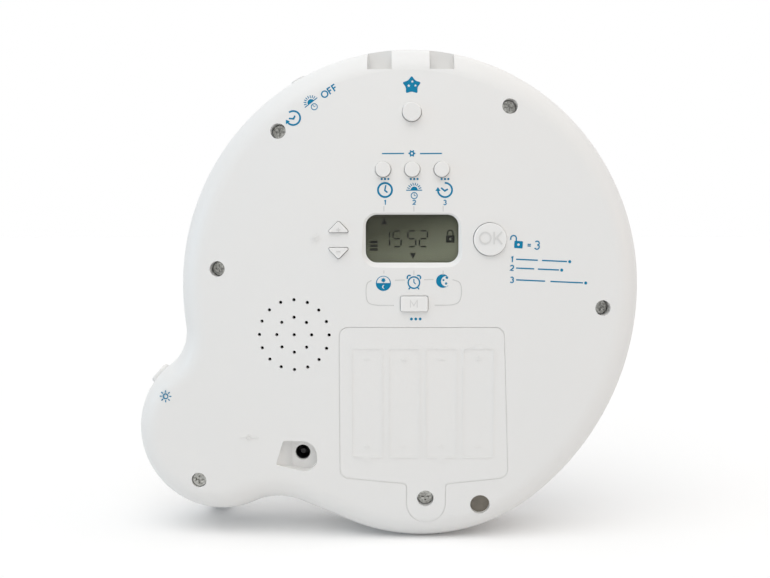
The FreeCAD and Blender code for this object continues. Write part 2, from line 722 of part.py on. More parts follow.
def speaker_seat():
    """Rear shell: the round cup that holds the loudspeaker, and its grille."""
    x, z = SPEAKER_X, SPEAKER_Z
    cup = ring(x, z, SPEAKER_CUP_RADIUS, SPEAKER_SEAT_RADIUS, FAR_BACK, SPEAKER_CUP_Y)
    cup = cup.common(rear_block(SKIN_DEPTH))
    removed = [rod(x, z, SPEAKER_RADIUS + SPEAKER_FIT, SPEAKER_FACE_Y, SPEAKER_CUP_Y + 1)]
    for radius, count in GRILLE_RINGS:
        for i in range(count):
            hole_x, hole_z = polar((x, z), radius, 90 + 360 * i / count)
            removed.append(rod(hole_x, hole_z, GRILLE_HOLE_RADIUS, FAR_BACK, SPEAKER_FACE_Y))
    return [cup], removed


def inlet_pocket():
    """Rear shell: the pocket of the power inlet, and the ribs beside the inlet."""
    wall_end = POCKET_FLOOR_Y + POCKET_WALL
    cup = prism(pocket_face().makeOffset2D(POCKET_WALL), FAR_BACK, wall_end).common(rear_block(SKIN_DEPTH))
    half = JACK_BODY[0] / 2 + SCREW_FIT
    low, high = JACK_Z - JACK_BODY[1] / 2, JACK_Z + JACK_BODY[1] / 2
    ribs = []
    for x0 in (JACK_X - half - JACK_RIB, JACK_X + half):
        ribs.append(box(x0, x0 + JACK_RIB, POCKET_FLOOR_Y, wall_end + JACK_RIB_DEPTH, low, high))
    return [cup] + ribs, [pocket_space(), rod(JACK_X, JACK_Z, JACK_HOLE_RADIUS, FAR_BACK, wall_end)]


def rim_notches():
    """Rear shell: the two open notches at the top of the rim."""
    added, removed = [], []
    for x0, x1 in NOTCHES:
        wall = box(x0 - POCKET_WALL, x1 + POCKET_WALL, FAR_BACK, NOTCH_BACK_Y + POCKET_WALL,
                   NOTCH_FLOOR_Z - POCKET_WALL, REACH)
        added.append(wall.common(rear_block(SKIN_DEPTH)))
        removed.append(box(x0, x1, FAR_BACK, NOTCH_BACK_Y, NOTCH_FLOOR_Z, REACH))
    return added, removed


def slide_levels():
    """Heights above the rim arc's centre: the knob's plate, and the switch body under it."""
    centre, radius = (0.0, RIM_SHIFT), TOP_HEIGHT - RIM_SHIFT
    reach = KNOB_PLATE[0] / 2 + SLIDE_TRAVEL
    plate = math.sqrt((radius - WALL) ** 2 - reach**2) - GAP
    return centre, radius, plate, radius - SLIDE_BODY_DROP


def slide_slot():
    """Rear shell: the slide switch's slot, and the ribs at its ends."""
    centre, radius, _, body_top = slide_levels()
    length, width = KNOB_SIZE[0] + 2 * SLIDE_TRAVEL + 2 * GAP, KNOB_SIZE[1] + 2 * GAP
    added, rib_end = [], SLIDE_Y + SLIDE_BODY[1] / 2
    for z0 in (SLIDE_BODY[0] / 2, -SLIDE_BODY[0] / 2 - POCKET_WALL):
        rib = box(body_top - SLIDE_BODY[2], body_top, FAR_BACK, rib_end, z0, z0 + POCKET_WALL)
        added.append(turned(rib, centre, SLIDE_ANGLE).common(rear_block(SKIN_DEPTH)))
    slot = upright_slot(radius - 2 * WALL, radius + 2 * WALL, length, width, SLIDE_Y)
    return added, [turned(slot, centre, SLIDE_ANGLE)]


def light_levels():
    """Distances from the lobe's centre: the light key's flange and stem, its switch, and the board behind."""
    half = LIGHT_FLANGE[0] / 2
    flange = math.sqrt((LOBE_RADIUS - WALL) ** 2 - half**2) - LIGHT_KEY_DROP
    stem = flange - KEY_FLANGE_THICKNESS - LIGHT_KEY_STEM
    body = stem - SWITCH_FREE - PLUNGER_LENGTH
    return flange, stem, body, body - SWITCH_BODY - BOARD_THICKNESS


def light_key_hole():
    """Rear shell: the light key's hole, and the rib behind its switch."""
    board_back = light_levels()[-1]
    hole = upright_slot(LOBE_RADIUS - 2 * WALL, LOBE_RADIUS + WALL, LIGHT_KEY_SIZE[0] + 2 * KEY_GAP,
                        LIGHT_KEY_SIZE[1] + 2 * KEY_GAP, LIGHT_KEY_Y)
    half = LIGHT_BOARD[0] / 2
    rib = box(board_back - POCKET_WALL, board_back, FAR_BACK, LIGHT_RIB_END_Y, -half, half)
    rib = turned(rib, (LOBE_X, LOBE_Z), LIGHT_KEY_ANGLE).common(rear_block(SKIN_DEPTH))
    return [rib], [turned(hole, (LOBE_X, LOBE_Z), LIGHT_KEY_ANGLE)]


def disc_pad(y0, y1, block):
    """A rubber pad set into the bottom of one shell, flat where it meets the floor."""
    x0, x1 = BOTTOM_CENTRE_X - FOOT_HALF_WIDTH, BOTTOM_CENTRE_X + FOOT_HALF_WIDTH
    top = BOTTOM_Z + FOOT_RECESS + 2 * FOOT_SHOW
    return box(x0, x1, y0, y1, -CENTRE_HEIGHT, top).cut(block)


def rear_pad():
    return disc_pad(*REAR_FOOT_Y, rear_block(FOOT_RECESS))


def front_pad():
    return disc_pad(*FRONT_FOOT_Y, front_block(FOOT_RECESS))


def make_leg():
    """The leg under the lobe: a wedge that leans forward to a toe, seen from the side in Y and height."""
    toe_y, top_y, top = LEG_TOE_Y, LEG_TOP[0], LEG_TOP[1]
    profile = [(LEG_ROOT_Y, top), (LEG_ROOT_Y, LEG_ROOT_HEIGHT), (toe_y[0], LEG_PAD), (toe_y[1], LEG_PAD),
               (toe_y[1], LEG_TOE_HEIGHT), (top_y, top)]
    corners = [Vector(LEG_X - LEG_HALF_WIDTH, y, z - CENTRE_HEIGHT) for y, z in profile]
    wedge = Part.Face(Part.makePolygon(corners + corners[:1])).extrude(Vector(2 * LEG_HALF_WIDTH, 0, 0))
    low = LEG_PAD + LEG_ROUNDING - CENTRE_HEIGHT
    return wedge.makeFillet(LEG_ROUNDING, [e for e in wedge.Edges if e.BoundBox.ZMax > low])


def leg_pad():
    half, (y0, y1) = LEG_HALF_WIDTH - LEG_PAD_INSET, LEG_TOE_Y
    return box(LEG_X - half, LEG_X + half, y0 + LEG_PAD_INSET, y1 - LEG_PAD_INSET, -CENTRE_HEIGHT,
               LEG_PAD - CENTRE_HEIGHT)


def make_rear_shell():
    shell = rear_block(0.0).cut(rear_block(WALL, 1.0))
    added, removed = [], [rear_pad()]
    for feature in (screw_towers, battery_opening, display_opening, key_holes, board_posts, speaker_seat,
                    inlet_pocket, rim_notches, slide_slot, light_key_hole):
        more, less = feature()
        added += more
        removed += less
    shell = shell.multiFuse(added).cut(removed)
    return max(shell.Solids, key=lambda solid: solid.Volume)


def make_front_shell():
    """The front half: ring face, lamp openings, lip, screw bosses, lens seats and the leg under the lobe."""
    lamp_x, lamp_z = LAMP_X, LAMP_Z
    inner = front_block(WALL, -1.0)
    shell = front_block(0.0).cut(inner)
    lip = prism(housing_face(WALL - SKIN_DEPTH, 0.0), 0.0, LIP_DEPTH)
    lip = lip.fuse(prism(housing_face(WALL + LIP_GAP, 0.0), -LIP_DEPTH, 0.0))
    lip = lip.cut(prism(housing_face(WALL + LIP_GAP + LIP_THICKNESS, 0.0), -LIP_DEPTH - 1, LIP_DEPTH + 1))
    deep = front_block(SKIN_DEPTH, BOSS_END_Y - 1)
    added, removed = [lip], [front_pad()]
    for x, z in CASE_SCREWS + (PLUG_SCREW,):
        added.append(rod(x, z, BOSS_RADIUS, BOSS_END_Y, FRONT_FACE_Y).common(deep))
        removed.append(rod(x, z, SCREW_SHANK, BOSS_END_Y - 1, SCREW_TIP_Y + 1))
    lens_back = FRONT_FACE_Y - WALL - FLANGE_THICKNESS
    bore_end = lens_back - REFLECTOR_THICKNESS + LAMP_SCREW[3] + GAP
    for angle in LAMP_SCREW_ANGLES:
        x, z = polar((lamp_x, lamp_z), LAMP_SCREW_CIRCLE, angle)
        added.append(rod(x, z, LAMP_BOSS_RADIUS, lens_back, FRONT_FACE_Y - SKIN_DEPTH))
        removed.append(rod(x, z, LAMP_SCREW[2], lens_back - 1, bore_end))
    for along in (-LOBE_POST, LOBE_POST):
        x, z = lobe_board_point(along)
        start = LOBE_BOARD_Y + BOARD_THICKNESS
        added.append(rod(x, z, POST_RADIUS, start, FRONT_FACE_Y).common(deep))
        removed.append(rod(x, z, LAMP_SCREW[2], start - 1, LOBE_BOARD_Y + LAMP_SCREW[3] + GAP))
    added.append(make_leg().cut(inner))
    for x, z, radius in ((lamp_x, lamp_z, LAMP_RADIUS), (LOBE_X, LOBE_Z, LOBE_LENS_RADIUS)):
        removed.append(rod(x, z, radius + LENS_FIT, lens_back - 1, FRONT_FACE_Y + 1))
    shell = shell.multiFuse(added).cut(removed)
    return max(shell.Solids, key=lambda solid: solid.Volume)


def lens_ball(x, z, radius, apex_y, inset):
    """The ball whose cap a lens is, its skin moved inwards by inset."""
    rise = apex_y - LAMP_RIM_Y
    ball_radius = (radius**2 + rise**2) / (2 * rise)
    return Part.makeSphere(ball_radius - inset, Vector(x, apex_y - ball_radius, z))


def make_lens(x, z, radius, apex_y):
    """A domed lens with a flange that the front shell holds from in front."""
    back = FRONT_FACE_Y - WALL - FLANGE_THICKNESS
    body = rod(x, z, radius, back, apex_y + 1).common(lens_ball(x, z, radius, apex_y, 0.0))
    hollow = rod(x, z, radius - LENS_THICKNESS, back - 1, apex_y + 1)
    hollow = hollow.common(lens_ball(x, z, radius, apex_y, LENS_THICKNESS))
    flange = rod(x, z, radius + LENS_FLANGE, back, back + FLANGE_THICKNESS)
    return body.fuse(flange).cut(hollow).removeSplitter()


def sun_face(grow):
    """A sun with short rays, as a star with many points."""
    centre, count = (LAMP_X + SUN[0], LAMP_Z + SUN[1]), 2 * SUN_POINTS
    points = [polar(centre, SUN_RADII[i % 2] + grow, 360 * i / count) for i in range(count)]
    return rounded_face(points, [SUN_CORNER] * count)


def moon_face(grow):
    """A crescent: one circle with another cut from its side."""
    disc = circle_face(LAMP_X + MOON[0], LAMP_Z + MOON[1], MOON_RADIUS + grow)
    return disc.cut(circle_face(LAMP_X + MOON_BITE[0], LAMP_Z + MOON_BITE[1], MOON_BITE_RADIUS - grow))


def lamp_inlay(face, inset_out, inset_in):
    """The layer of the lamp's dome between two depths, over a face."""
    layer = lens_ball(LAMP_X, LAMP_Z, LAMP_RADIUS, LAMP_APEX_Y, inset_out)
    layer = layer.cut(lens_ball(LAMP_X, LAMP_Z, LAMP_RADIUS, LAMP_APEX_Y, inset_in))
    return prism(face, LAMP_RIM_Y, LAMP_APEX_Y + 2).common(layer)


def make_diffuser():
    lens = make_lens(LAMP_X, LAMP_Z, LAMP_RADIUS, LAMP_APEX_Y)
    inlay_depth = LENS_THICKNESS * INSERT_SHARE
    for face in (sun_face(INSERT_FIT), moon_face(INSERT_FIT)):
        lens = lens.cut(lamp_inlay(face, -1.0, inlay_depth))
    return lens


def make_insert(face):
    return lamp_inlay(face, -INSERT_PROUD, LENS_THICKNESS * INSERT_SHARE)


def make_reflector():
    """A white cone behind the lamp, with holes for the lights, ears for screws and posts for their board."""
    centre = (LAMP_X, LAMP_Z)
    rim = FRONT_FACE_Y - WALL - FLANGE_THICKNESS
    back, thick = REFLECTOR_Y, REFLECTOR_THICKNESS
    outer = LAMP_RADIUS + LENS_FLANGE
    profile = [
        (0, back),
        (REFLECTOR_BASE_RADIUS, back),
        (REFLECTOR_RIM_RADIUS, rim - thick),
        (outer, rim - thick),
        (outer, rim),
        (REFLECTOR_RIM_RADIUS - thick, rim),
        (REFLECTOR_BASE_RADIUS - thick / 2, back + thick),
        (0, back + thick),
    ]
    cone = revolved(*centre, profile)
    added, removed = [], []
    for angle in LAMP_SCREW_ANGLES:
        x, z = polar(centre, LAMP_SCREW_CIRCLE, angle)
        ear = fuse([rod(x, z, LAMP_BOSS_RADIUS, rim - thick, rim),
                    rod(*polar(centre, outer - 1, angle), LAMP_BOSS_RADIUS, rim - thick, rim)])
        added.append(ear.cut(rod(*centre, outer - 1, rim - thick - 1, rim + 1)))
        removed.append(rod(x, z, LAMP_SCREW[2], rim - thick - 1, rim + 1))
    board_front = LED_BOARD_Y + BOARD_THICKNESS
    for angle in POST_ANGLES:
        x, z = polar(centre, POST_CIRCLE, angle)
        added.append(rod(x, z, POST_RADIUS, board_front, back + thick))
        removed.append(rod(x, z, LAMP_SCREW[2], board_front - 1, LED_BOARD_Y + LAMP_SCREW[3] + GAP))
    for angle in LED_RING_ANGLES:
        removed.append(rod(*led_point(angle), LED_HOLE_RADIUS, back - 1, back + thick + 1))
    return cone.multiFuse(added).cut(removed).removeSplitter()


def make_light_screws():
    """The small screws of the lamp, its board and the lobe's board."""
    radius, height, shank, length = LAMP_SCREW
    rim_back = FRONT_FACE_Y - WALL - FLANGE_THICKNESS - REFLECTOR_THICKNESS
    places = [(*polar((LAMP_X, LAMP_Z), LAMP_SCREW_CIRCLE, angle), rim_back) for angle in LAMP_SCREW_ANGLES]
    places += [(*polar((LAMP_X, LAMP_Z), POST_CIRCLE, angle), LED_BOARD_Y) for angle in POST_ANGLES]
    places += [(*lobe_board_point(along), LOBE_BOARD_Y) for along in (-LOBE_POST, LOBE_POST)]
    screws = [screw(x, z, seat, seat + length, (radius, height), shank) for x, z, seat in places]
    return Part.makeCompound(screws)


def led(x, z, y):
    half = LED_SIZE / 2
    return box(x - half, x + half, y, y + LED_HEIGHT, z - half, z + half)


def make_leds():
    front = LED_BOARD_Y + BOARD_THICKNESS
    return Part.makeCompound([led(*led_point(angle), front) for angle in LED_RING_ANGLES])


def make_led_board():
    board = rod(LAMP_X, LAMP_Z, LED_BOARD_RADIUS, LED_BOARD_Y, LED_BOARD_Y + BOARD_THICKNESS)
    holes = [rod(*polar((LAMP_X, LAMP_Z), POST_CIRCLE, angle), LAMP_SCREW[2], LED_BOARD_Y - 1, REFLECTOR_Y)
             for angle in POST_ANGLES]
    return board.cut(holes)


def make_lobe_board():
    length, width = LOBE_BOARD_SIZE
    board = box(-length / 2, length / 2, LOBE_BOARD_Y, LOBE_BOARD_Y + BOARD_THICKNESS, -width / 2, width / 2)
    board = turned(board, (LOBE_X, LOBE_Z), LOBE_BOARD_ANGLE)
    start, end = LOBE_BOARD_Y - 1, LOBE_BOARD_Y + BOARD_THICKNESS + 1
    places = [lobe_board_point(along) for along in (-LOBE_POST, LOBE_POST)]
    return board.cut([rod(x, z, LAMP_SCREW[2], start, end) for x, z in places])


def make_lobe_cup():
    """The ring that clamps the lobe's lens and keeps its light in."""
    end = FRONT_FACE_Y - WALL - FLANGE_THICKNESS
    return ring(LOBE_X, LOBE_Z, CUP_RADIUS, CUP_RADIUS - CUP_WALL, LOBE_BOARD_Y + BOARD_THICKNESS, end)


def make_light_button():
    flange, stem, _, _ = light_levels()
    base = flange - KEY_FLANGE_THICKNESS
    cap = upright_slot(base, LOBE_RADIUS + LIGHT_KEY_SHOW, *LIGHT_KEY_SIZE, LIGHT_KEY_Y)
    top = max(cap.Faces, key=lambda face: face.CenterOfMass.x)
    cap = cap.makeFillet(KEY_ROUNDING * 2, top.Edges)
    half_z, half_y = LIGHT_FLANGE[0] / 2, LIGHT_FLANGE[1] / 2
    collar = box(base, flange, LIGHT_KEY_Y - half_y, LIGHT_KEY_Y + half_y, -half_z, half_z)
    post = Part.makeCylinder(PLUNGER_RADIUS, flange - stem, Vector(stem, LIGHT_KEY_Y, 0), Vector(1, 0, 0))
    return turned(fuse([cap, collar, post]), (LOBE_X, LOBE_Z), LIGHT_KEY_ANGLE)


def make_light_switch_board():
    _, _, body, board_back = light_levels()
    half_z, half_y = LIGHT_BOARD[0] / 2, LIGHT_BOARD[1] / 2
    board = box(board_back, body - SWITCH_BODY, LIGHT_KEY_Y - half_y, LIGHT_KEY_Y + half_y, -half_z, half_z)
    return turned(board, (LOBE_X, LOBE_Z), LIGHT_KEY_ANGLE)


def make_switches():
    """The push switches: one under each key of the back, and one behind the light key."""
    half = SWITCH_SIZE / 2
    switches = []
    for _, _, x, z, _ in key_table():
        body = box(x - half, x + half, BOARD_Y - SWITCH_BODY, BOARD_Y, z - half, z + half)
        switches.append(body.fuse(rod(x, z, PLUNGER_RADIUS, SWITCH_TOP_Y, BOARD_Y - SWITCH_BODY)))
    _, _, top, _ = light_levels()
    body = box(top - SWITCH_BODY, top, LIGHT_KEY_Y - half, LIGHT_KEY_Y + half, -half, half)
    plunger = Part.makeCylinder(PLUNGER_RADIUS, PLUNGER_LENGTH, Vector(top, LIGHT_KEY_Y, 0), Vector(1, 0, 0))
    switches.append(turned(body.fuse(plunger), (LOBE_X, LOBE_Z), LIGHT_KEY_ANGLE))
    return Part.makeCompound(switches)


def make_main_board():
    """The main board, with a tongue up to the top key and a hole for each screw."""
    front = BOARD_Y + BOARD_THICKNESS
    board = box(*BOARD_X, BOARD_Y, front, *BOARD_Z)
    board = board.fuse(box(-TONGUE_HALF_WIDTH, TONGUE_HALF_WIDTH, BOARD_Y, front, BOARD_Z[1] - 1, TONGUE_TOP))
    board = board.removeSplitter()
    return board.cut([rod(x, z, BOARD_SCREW_SHANK, BOARD_Y - 1, front + 1) for x, z in BOARD_POSTS])


def make_board_screws():
    front = BOARD_Y + BOARD_THICKNESS
    screws = []
    for x, z in BOARD_POSTS:
        turned_over = screw(x, z, -front, -BOARD_SCREW_TIP_Y, BOARD_SCREW_HEAD, BOARD_SCREW_SHANK)
        screws.append(turned_over.mirror(Vector(0, 0, 0), ALONG_Y))
    return Part.makeCompound(screws)


def make_board_chips():
    front = BOARD_Y + BOARD_THICKNESS
    chips = [box(x - w / 2, x + w / 2, front, front + t, z - h / 2, z + h / 2) for x, z, w, h, t in CHIPS]
    chips += [rod(x, z, CAPACITOR_RADIUS, front, front + CAPACITOR_HEIGHT) for x, z in CAPACITORS]
    return Part.makeCompound(chips)


def frame(width, height, wall, y0, y1):
    """A rectangular frame round the display's centre."""
    outer = rounded_rectangle(LCD_X, LCD_Z, width + 2 * wall, height + 2 * wall, SEAT_CORNER + wall)
    inner = rounded_rectangle(LCD_X, LCD_Z, width, height, SEAT_CORNER)
    return prism(outer, y0, y1).cut(prism(inner, y0 - 1, y1 + 1))


def make_display_holder():
    """The frame that holds the display off the board, with a ledge behind the display."""
    width, height = LCD_SIZE[0] + 2 * LCD_FIT, LCD_SIZE[1] + 2 * LCD_FIT
    ledge_y = LCD_Y + LCD_THICKNESS
    tall = frame(width, height, HOLDER_WALL, HOLDER_TOP_Y, BOARD_Y)
    inner = (width - 2 * HOLDER_LEDGE, height - 2 * HOLDER_LEDGE)
    ledge = frame(*inner, HOLDER_LEDGE + HOLDER_WALL / 2, ledge_y, ledge_y + HOLDER_LEDGE)
    return tall.fuse(ledge).removeSplitter()


def make_zebra_strips():
    """The rubber strips that join the display's contacts to the board."""
    strips = []
    for side in (-1, 1):
        z = LCD_Z + side * (LCD_SIZE[1] / 2 - HOLDER_LEDGE - ZEBRA_THICKNESS / 2)
        half, thick = ZEBRA_LENGTH / 2, ZEBRA_THICKNESS / 2
        strips.append(box(LCD_X - half, LCD_X + half, LCD_Y + LCD_THICKNESS, BOARD_Y, z - thick, z + thick))
    return Part.makeCompound(strips)


def plate(y, thickness):
    """The display or its window: a flat sheet that fits the display's seat."""
    return prism(rounded_rectangle(LCD_X, LCD_Z, *LCD_SIZE, LCD_CORNER), y, y + thickness)


def speaker_levels():
    rim = SPEAKER_FACE_Y + GASKET_THICKNESS
    return rim, rim + BASKET_DEPTH


def make_speaker_gasket():
    rim, _ = speaker_levels()
    return ring(SPEAKER_X, SPEAKER_Z, SPEAKER_RADIUS, SPEAKER_SEAT_RADIUS - 1, SPEAKER_FACE_Y, rim)


def make_speaker_basket():
    rim, back = speaker_levels()
    profile = [(MAGNET_RADIUS / 2, back), (BASKET_BACK_RADIUS, back), (SPEAKER_RADIUS, rim + BASKET_RIM),
               (SPEAKER_RADIUS, rim), (CONE_RADIUS, rim), (CONE_RADIUS, rim + BASKET_RIM),
               (BASKET_BACK_RADIUS - BASKET_RIM, back - BASKET_RIM), (MAGNET_RADIUS / 2, back - BASKET_RIM)]
    return revolved(SPEAKER_X, SPEAKER_Z, profile)


def make_speaker_cone():
    """The cone, with its round cap in the middle."""
    rim, _ = speaker_levels()
    deep = rim + BASKET_DEPTH / 2
    profile = [(0, deep - CONE_HOLE_RADIUS / 3), (CONE_HOLE_RADIUS, deep), (CONE_RADIUS, rim),
               (CONE_RADIUS, rim + CONE_THICKNESS), (CONE_HOLE_RADIUS, deep + CONE_THICKNESS),
               (0, deep - CONE_HOLE_RADIUS / 3 + CONE_THICKNESS)]
    return revolved(SPEAKER_X, SPEAKER_Z, profile)


def make_speaker_magnet():
    _, back = speaker_levels()
    return rod(SPEAKER_X, SPEAKER_Z, MAGNET_RADIUS, back, back + MAGNET_DEPTH)


def make_jack():
    width, height, depth = JACK_BODY
    start = POCKET_FLOOR_Y + POCKET_WALL
    left, low = JACK_X - width / 2, JACK_Z - height / 2
    body = box(left, left + width, start, start + depth, low, low + height)
    return body.cut(rod(JACK_X, JACK_Z, JACK_BORE_RADIUS, start - 1, start + JACK_BORE_DEPTH))


def make_jack_pin():
    start = POCKET_FLOOR_Y + POCKET_WALL
    return rod(JACK_X, JACK_Z, JACK_PIN_RADIUS, start + JACK_PIN_SETBACK, start + JACK_BORE_DEPTH)


def make_slide_knob():
    centre, radius, top, body_top = slide_levels()
    length, width, thick = KNOB_PLATE
    base = box(top - thick, top, SLIDE_Y - width / 2, SLIDE_Y + width / 2, -length / 2, length / 2)
    grip = upright_slot(top - thick, radius + KNOB_SHOW, *KNOB_SIZE, SLIDE_Y)
    face = max(grip.Faces, key=lambda f: f.CenterOfMass.x)
    grip = grip.makeFillet(KEY_ROUNDING, face.Edges)
    low = body_top - KNOB_PIN_DEPTH
    pin = Part.makeCylinder(KNOB_PIN_RADIUS, top - low - thick / 2, Vector(low, SLIDE_Y, 0), Vector(1, 0, 0))
    return turned(fuse([base, grip, pin]), centre, SLIDE_ANGLE)


def make_slide_switch():
    centre, _, _, top = slide_levels()
    length, width, depth = SLIDE_BODY
    body = box(top - depth, top, SLIDE_Y - width / 2, SLIDE_Y + width / 2, -length / 2, length / 2)
    groove_length, groove_width, groove_depth = SLIDE_GROOVE
    body = body.cut(upright_slot(top - groove_depth, top + 1, groove_length, groove_width, SLIDE_Y))
    return turned(body, centre, SLIDE_ANGLE)


def make_battery_door():
    """The door: a plate that follows the back, two hinge tabs at its top and a screw cup at its foot."""
    x, z = DOOR_SCREW_X, DOOR_SCREW_Z
    door = skin(door_face(DOOR_GAP, DOOR_LOW_GAP), 0.0, DOOR_THICKNESS)
    inside = rear_block(DOOR_THICKNESS / 2)
    cup_end = DOOR_SCREW_SEAT_Y + DOOR_CUP_FLOOR
    added = [rod(x, z, DOOR_CUP_RADIUS, FAR_BACK, cup_end).common(inside)]
    for x0, x1 in hinge_tabs(0.0):
        added.append(box(x0, x1, FAR_BACK, HINGE_TAB_Y[1], *HINGE_NECK_Z).common(inside))
        added.append(box(x0, x1, *HINGE_TAB_Y, HINGE_NECK_Z[0], DOOR_TOP + HINGE_TAB_REACH))
    removed = [rod(x, z, DOOR_CUP_BORE, FAR_BACK, DOOR_SCREW_SEAT_Y)]
    removed.append(rod(x, z, DOOR_SCREW_SHANK, FAR_BACK, cup_end + 1))
    return door.multiFuse(added).cut(removed).removeSplitter()


def make_door_screw():
    x, z, seat_y = DOOR_SCREW_X, DOOR_SCREW_Z, DOOR_SCREW_SEAT_Y
    return screw(x, z, seat_y, DOOR_SCREW_TIP_Y, DOOR_SCREW_HEAD, DOOR_SCREW_SHANK)


def make_door_clip():
    start = DOOR_SCREW_SEAT_Y + DOOR_CUP_FLOOR
    radius, thick = DOOR_CLIP
    return ring(DOOR_SCREW_X, DOOR_SCREW_Z, radius, DOOR_SCREW_SHANK, start, start + thick)


def cell_way(i):
    """+1 where a cell's nub points up, -1 where it points down."""
    return 1 if i % 2 else -1


def make_cells():
    """Four round cells side by side, each the other way up from the one beside it."""
    middle = (BAY_TOP + BAY_BOTTOM) / 2
    cells = []
    for i, offset in enumerate(CELL_OFFSETS):
        x = BAY_X + offset * CELL_PITCH
        low = Vector(x, CELL_AXIS_Y, middle - (CELL_LENGTH + CELL_NUB) / 2)
        cell = Part.makeCylinder(CELL_RADIUS, CELL_LENGTH, low)
        cell = cell.fuse(Part.makeCylinder(CELL_NUB_RADIUS, CELL_NUB, low + Vector(0, 0, CELL_LENGTH)))
        if cell_way(i) < 0:
            cell = cell.mirror(Vector(0, 0, middle), Vector(0, 0, 1))
        cells.append(cell)
    return Part.makeCompound(cells)


def leaf_contact(x, wall_z, sign):
    """A contact plate on an end wall of the bay, with a bent leaf that meets the cell's end."""
    reach = (BAY_TOP - BAY_BOTTOM - CELL_LENGTH - CELL_NUB) / 2
    thick, half = CONTACT_THICKNESS, CONTACT_HALF_HEIGHT
    profile = [(-half, 0), (half, 0), (half, thick), (thick, reach), (-thick, reach), (-half, 2 * thick)]
    inner = [(half - 2 * thick, thick), (-half + thick, thick), (0, reach - thick)]
    faces = []
    for points in (profile, inner):
        corners = [Vector(x - CONTACT_HALF_WIDTH, CELL_AXIS_Y + y, wall_z - sign * d) for y, d in points]
        faces.append(Part.Face(Part.makePolygon(corners + corners[:1])))
    return faces[0].cut(faces[1]).extrude(Vector(2 * CONTACT_HALF_WIDTH, 0, 0))


def make_contacts():
    """The contacts: one at each cell's end, joined in pairs by a strip, and two tags past the top wall."""
    shapes = []
    xs = [BAY_X + offset * CELL_PITCH for offset in CELL_OFFSETS]
    thick, top_y = CONTACT_THICKNESS, CELL_AXIS_Y + CONTACT_HALF_HEIGHT - CONTACT_THICKNESS
    for wall_z, sign, groups in ((BAY_TOP, 1, ((0,), (1, 2), (3,))), (BAY_BOTTOM, -1, ((0, 1), (2, 3)))):
        for group in groups:
            pieces = [leaf_contact(xs[i], wall_z, sign) for i in group]
            low, high = sorted((wall_z, wall_z - sign * thick))
            if len(group) == 2:
                pieces.append(box(xs[group[0]], xs[group[1]], top_y - CONTACT_STRIP, top_y, low, high))
            else:
                half = CONTACT_TAG_WIDTH / 2
                tag = box(xs[group[0]] - half, xs[group[0]] + half, CONTACT_TAG_Y - thick / 2,
                          CONTACT_TAG_Y + thick / 2, low, wall_z + CONTACT_TAG_RISE)
                pieces.append(tag)
            shapes.append(fuse(pieces))
    return Part.makeCompound(shapes)


def tube(points):
    """A wire of round section along straight runs joined by tangent arcs."""
    points = [Vector(*p) for p in points]
    edges, start = [], points[0]
    for i in range(1, len(points) - 1):
        here = points[i]
        a, b = (points[i - 1] - here), (points[i + 1] - here)
        back = LEAD_ARC_SHARE * min(a.Length, b.Length)
        a.normalize()
        b.normalize()
        half = a.getAngle(b) / 2
        radius = back * math.tan(half)
        bulge = (a + b).normalize() * (radius / math.sin(half) - radius)
        first, last = here + a * back, here + b * back
        edges.append(Part.LineSegment(start, first).toShape())
        edges.append(Part.Arc(first, here + bulge, last).toShape())
        start = last
    edges.append(Part.LineSegment(start, points[-1]).toShape())
    path = Part.Wire(edges)
    section = Part.Wire(Part.makeCircle(LEAD_RADIUS, points[0], points[1] - points[0]))
    return path.makePipeShell([section], True, False)


def leads(routes):
    return Part.makeCompound([tube(route) for route in routes])


def moved(route, dx, dz):
    return [(x + dx, y, z + dz) for x, y, z in route]


def through(bends, start_y, end_y):
    """A wire's route: along Y from one depth to its first bend, and along Y from its last bend to another."""
    (x0, _, z0), (x1, _, z1) = bends[0], bends[-1]
    return [(x0, start_y, z0), *bends, (x1, end_y, z1)]


def make_battery_leads():
    """The wires from the two battery tags to the board."""
    front, tag_z = BOARD_Y + BOARD_THICKNESS, BAY_TOP + CONTACT_TAG_RISE
    routes = []
    for i in (0, -1):
        x = BAY_X + CELL_OFFSETS[i] * CELL_PITCH
        routes.append([(x, CONTACT_TAG_Y, tag_z), (x, CONTACT_TAG_Y, PAD_Z), (x, front, PAD_Z)])
    return leads(routes)


def make_speaker_leads():
    front = BOARD_Y + BOARD_THICKNESS
    back = speaker_levels()[1]
    routes = []
    for angle, x, z in SPEAKER_LEADS:
        start_x, start_z = polar((SPEAKER_X, SPEAKER_Z), SPEAKER_LEAD_RADIUS, angle)
        routes.append(through([(start_x, LEAD_LEVEL, start_z), (x, LEAD_LEVEL, z)], back, front))
    return leads(routes)


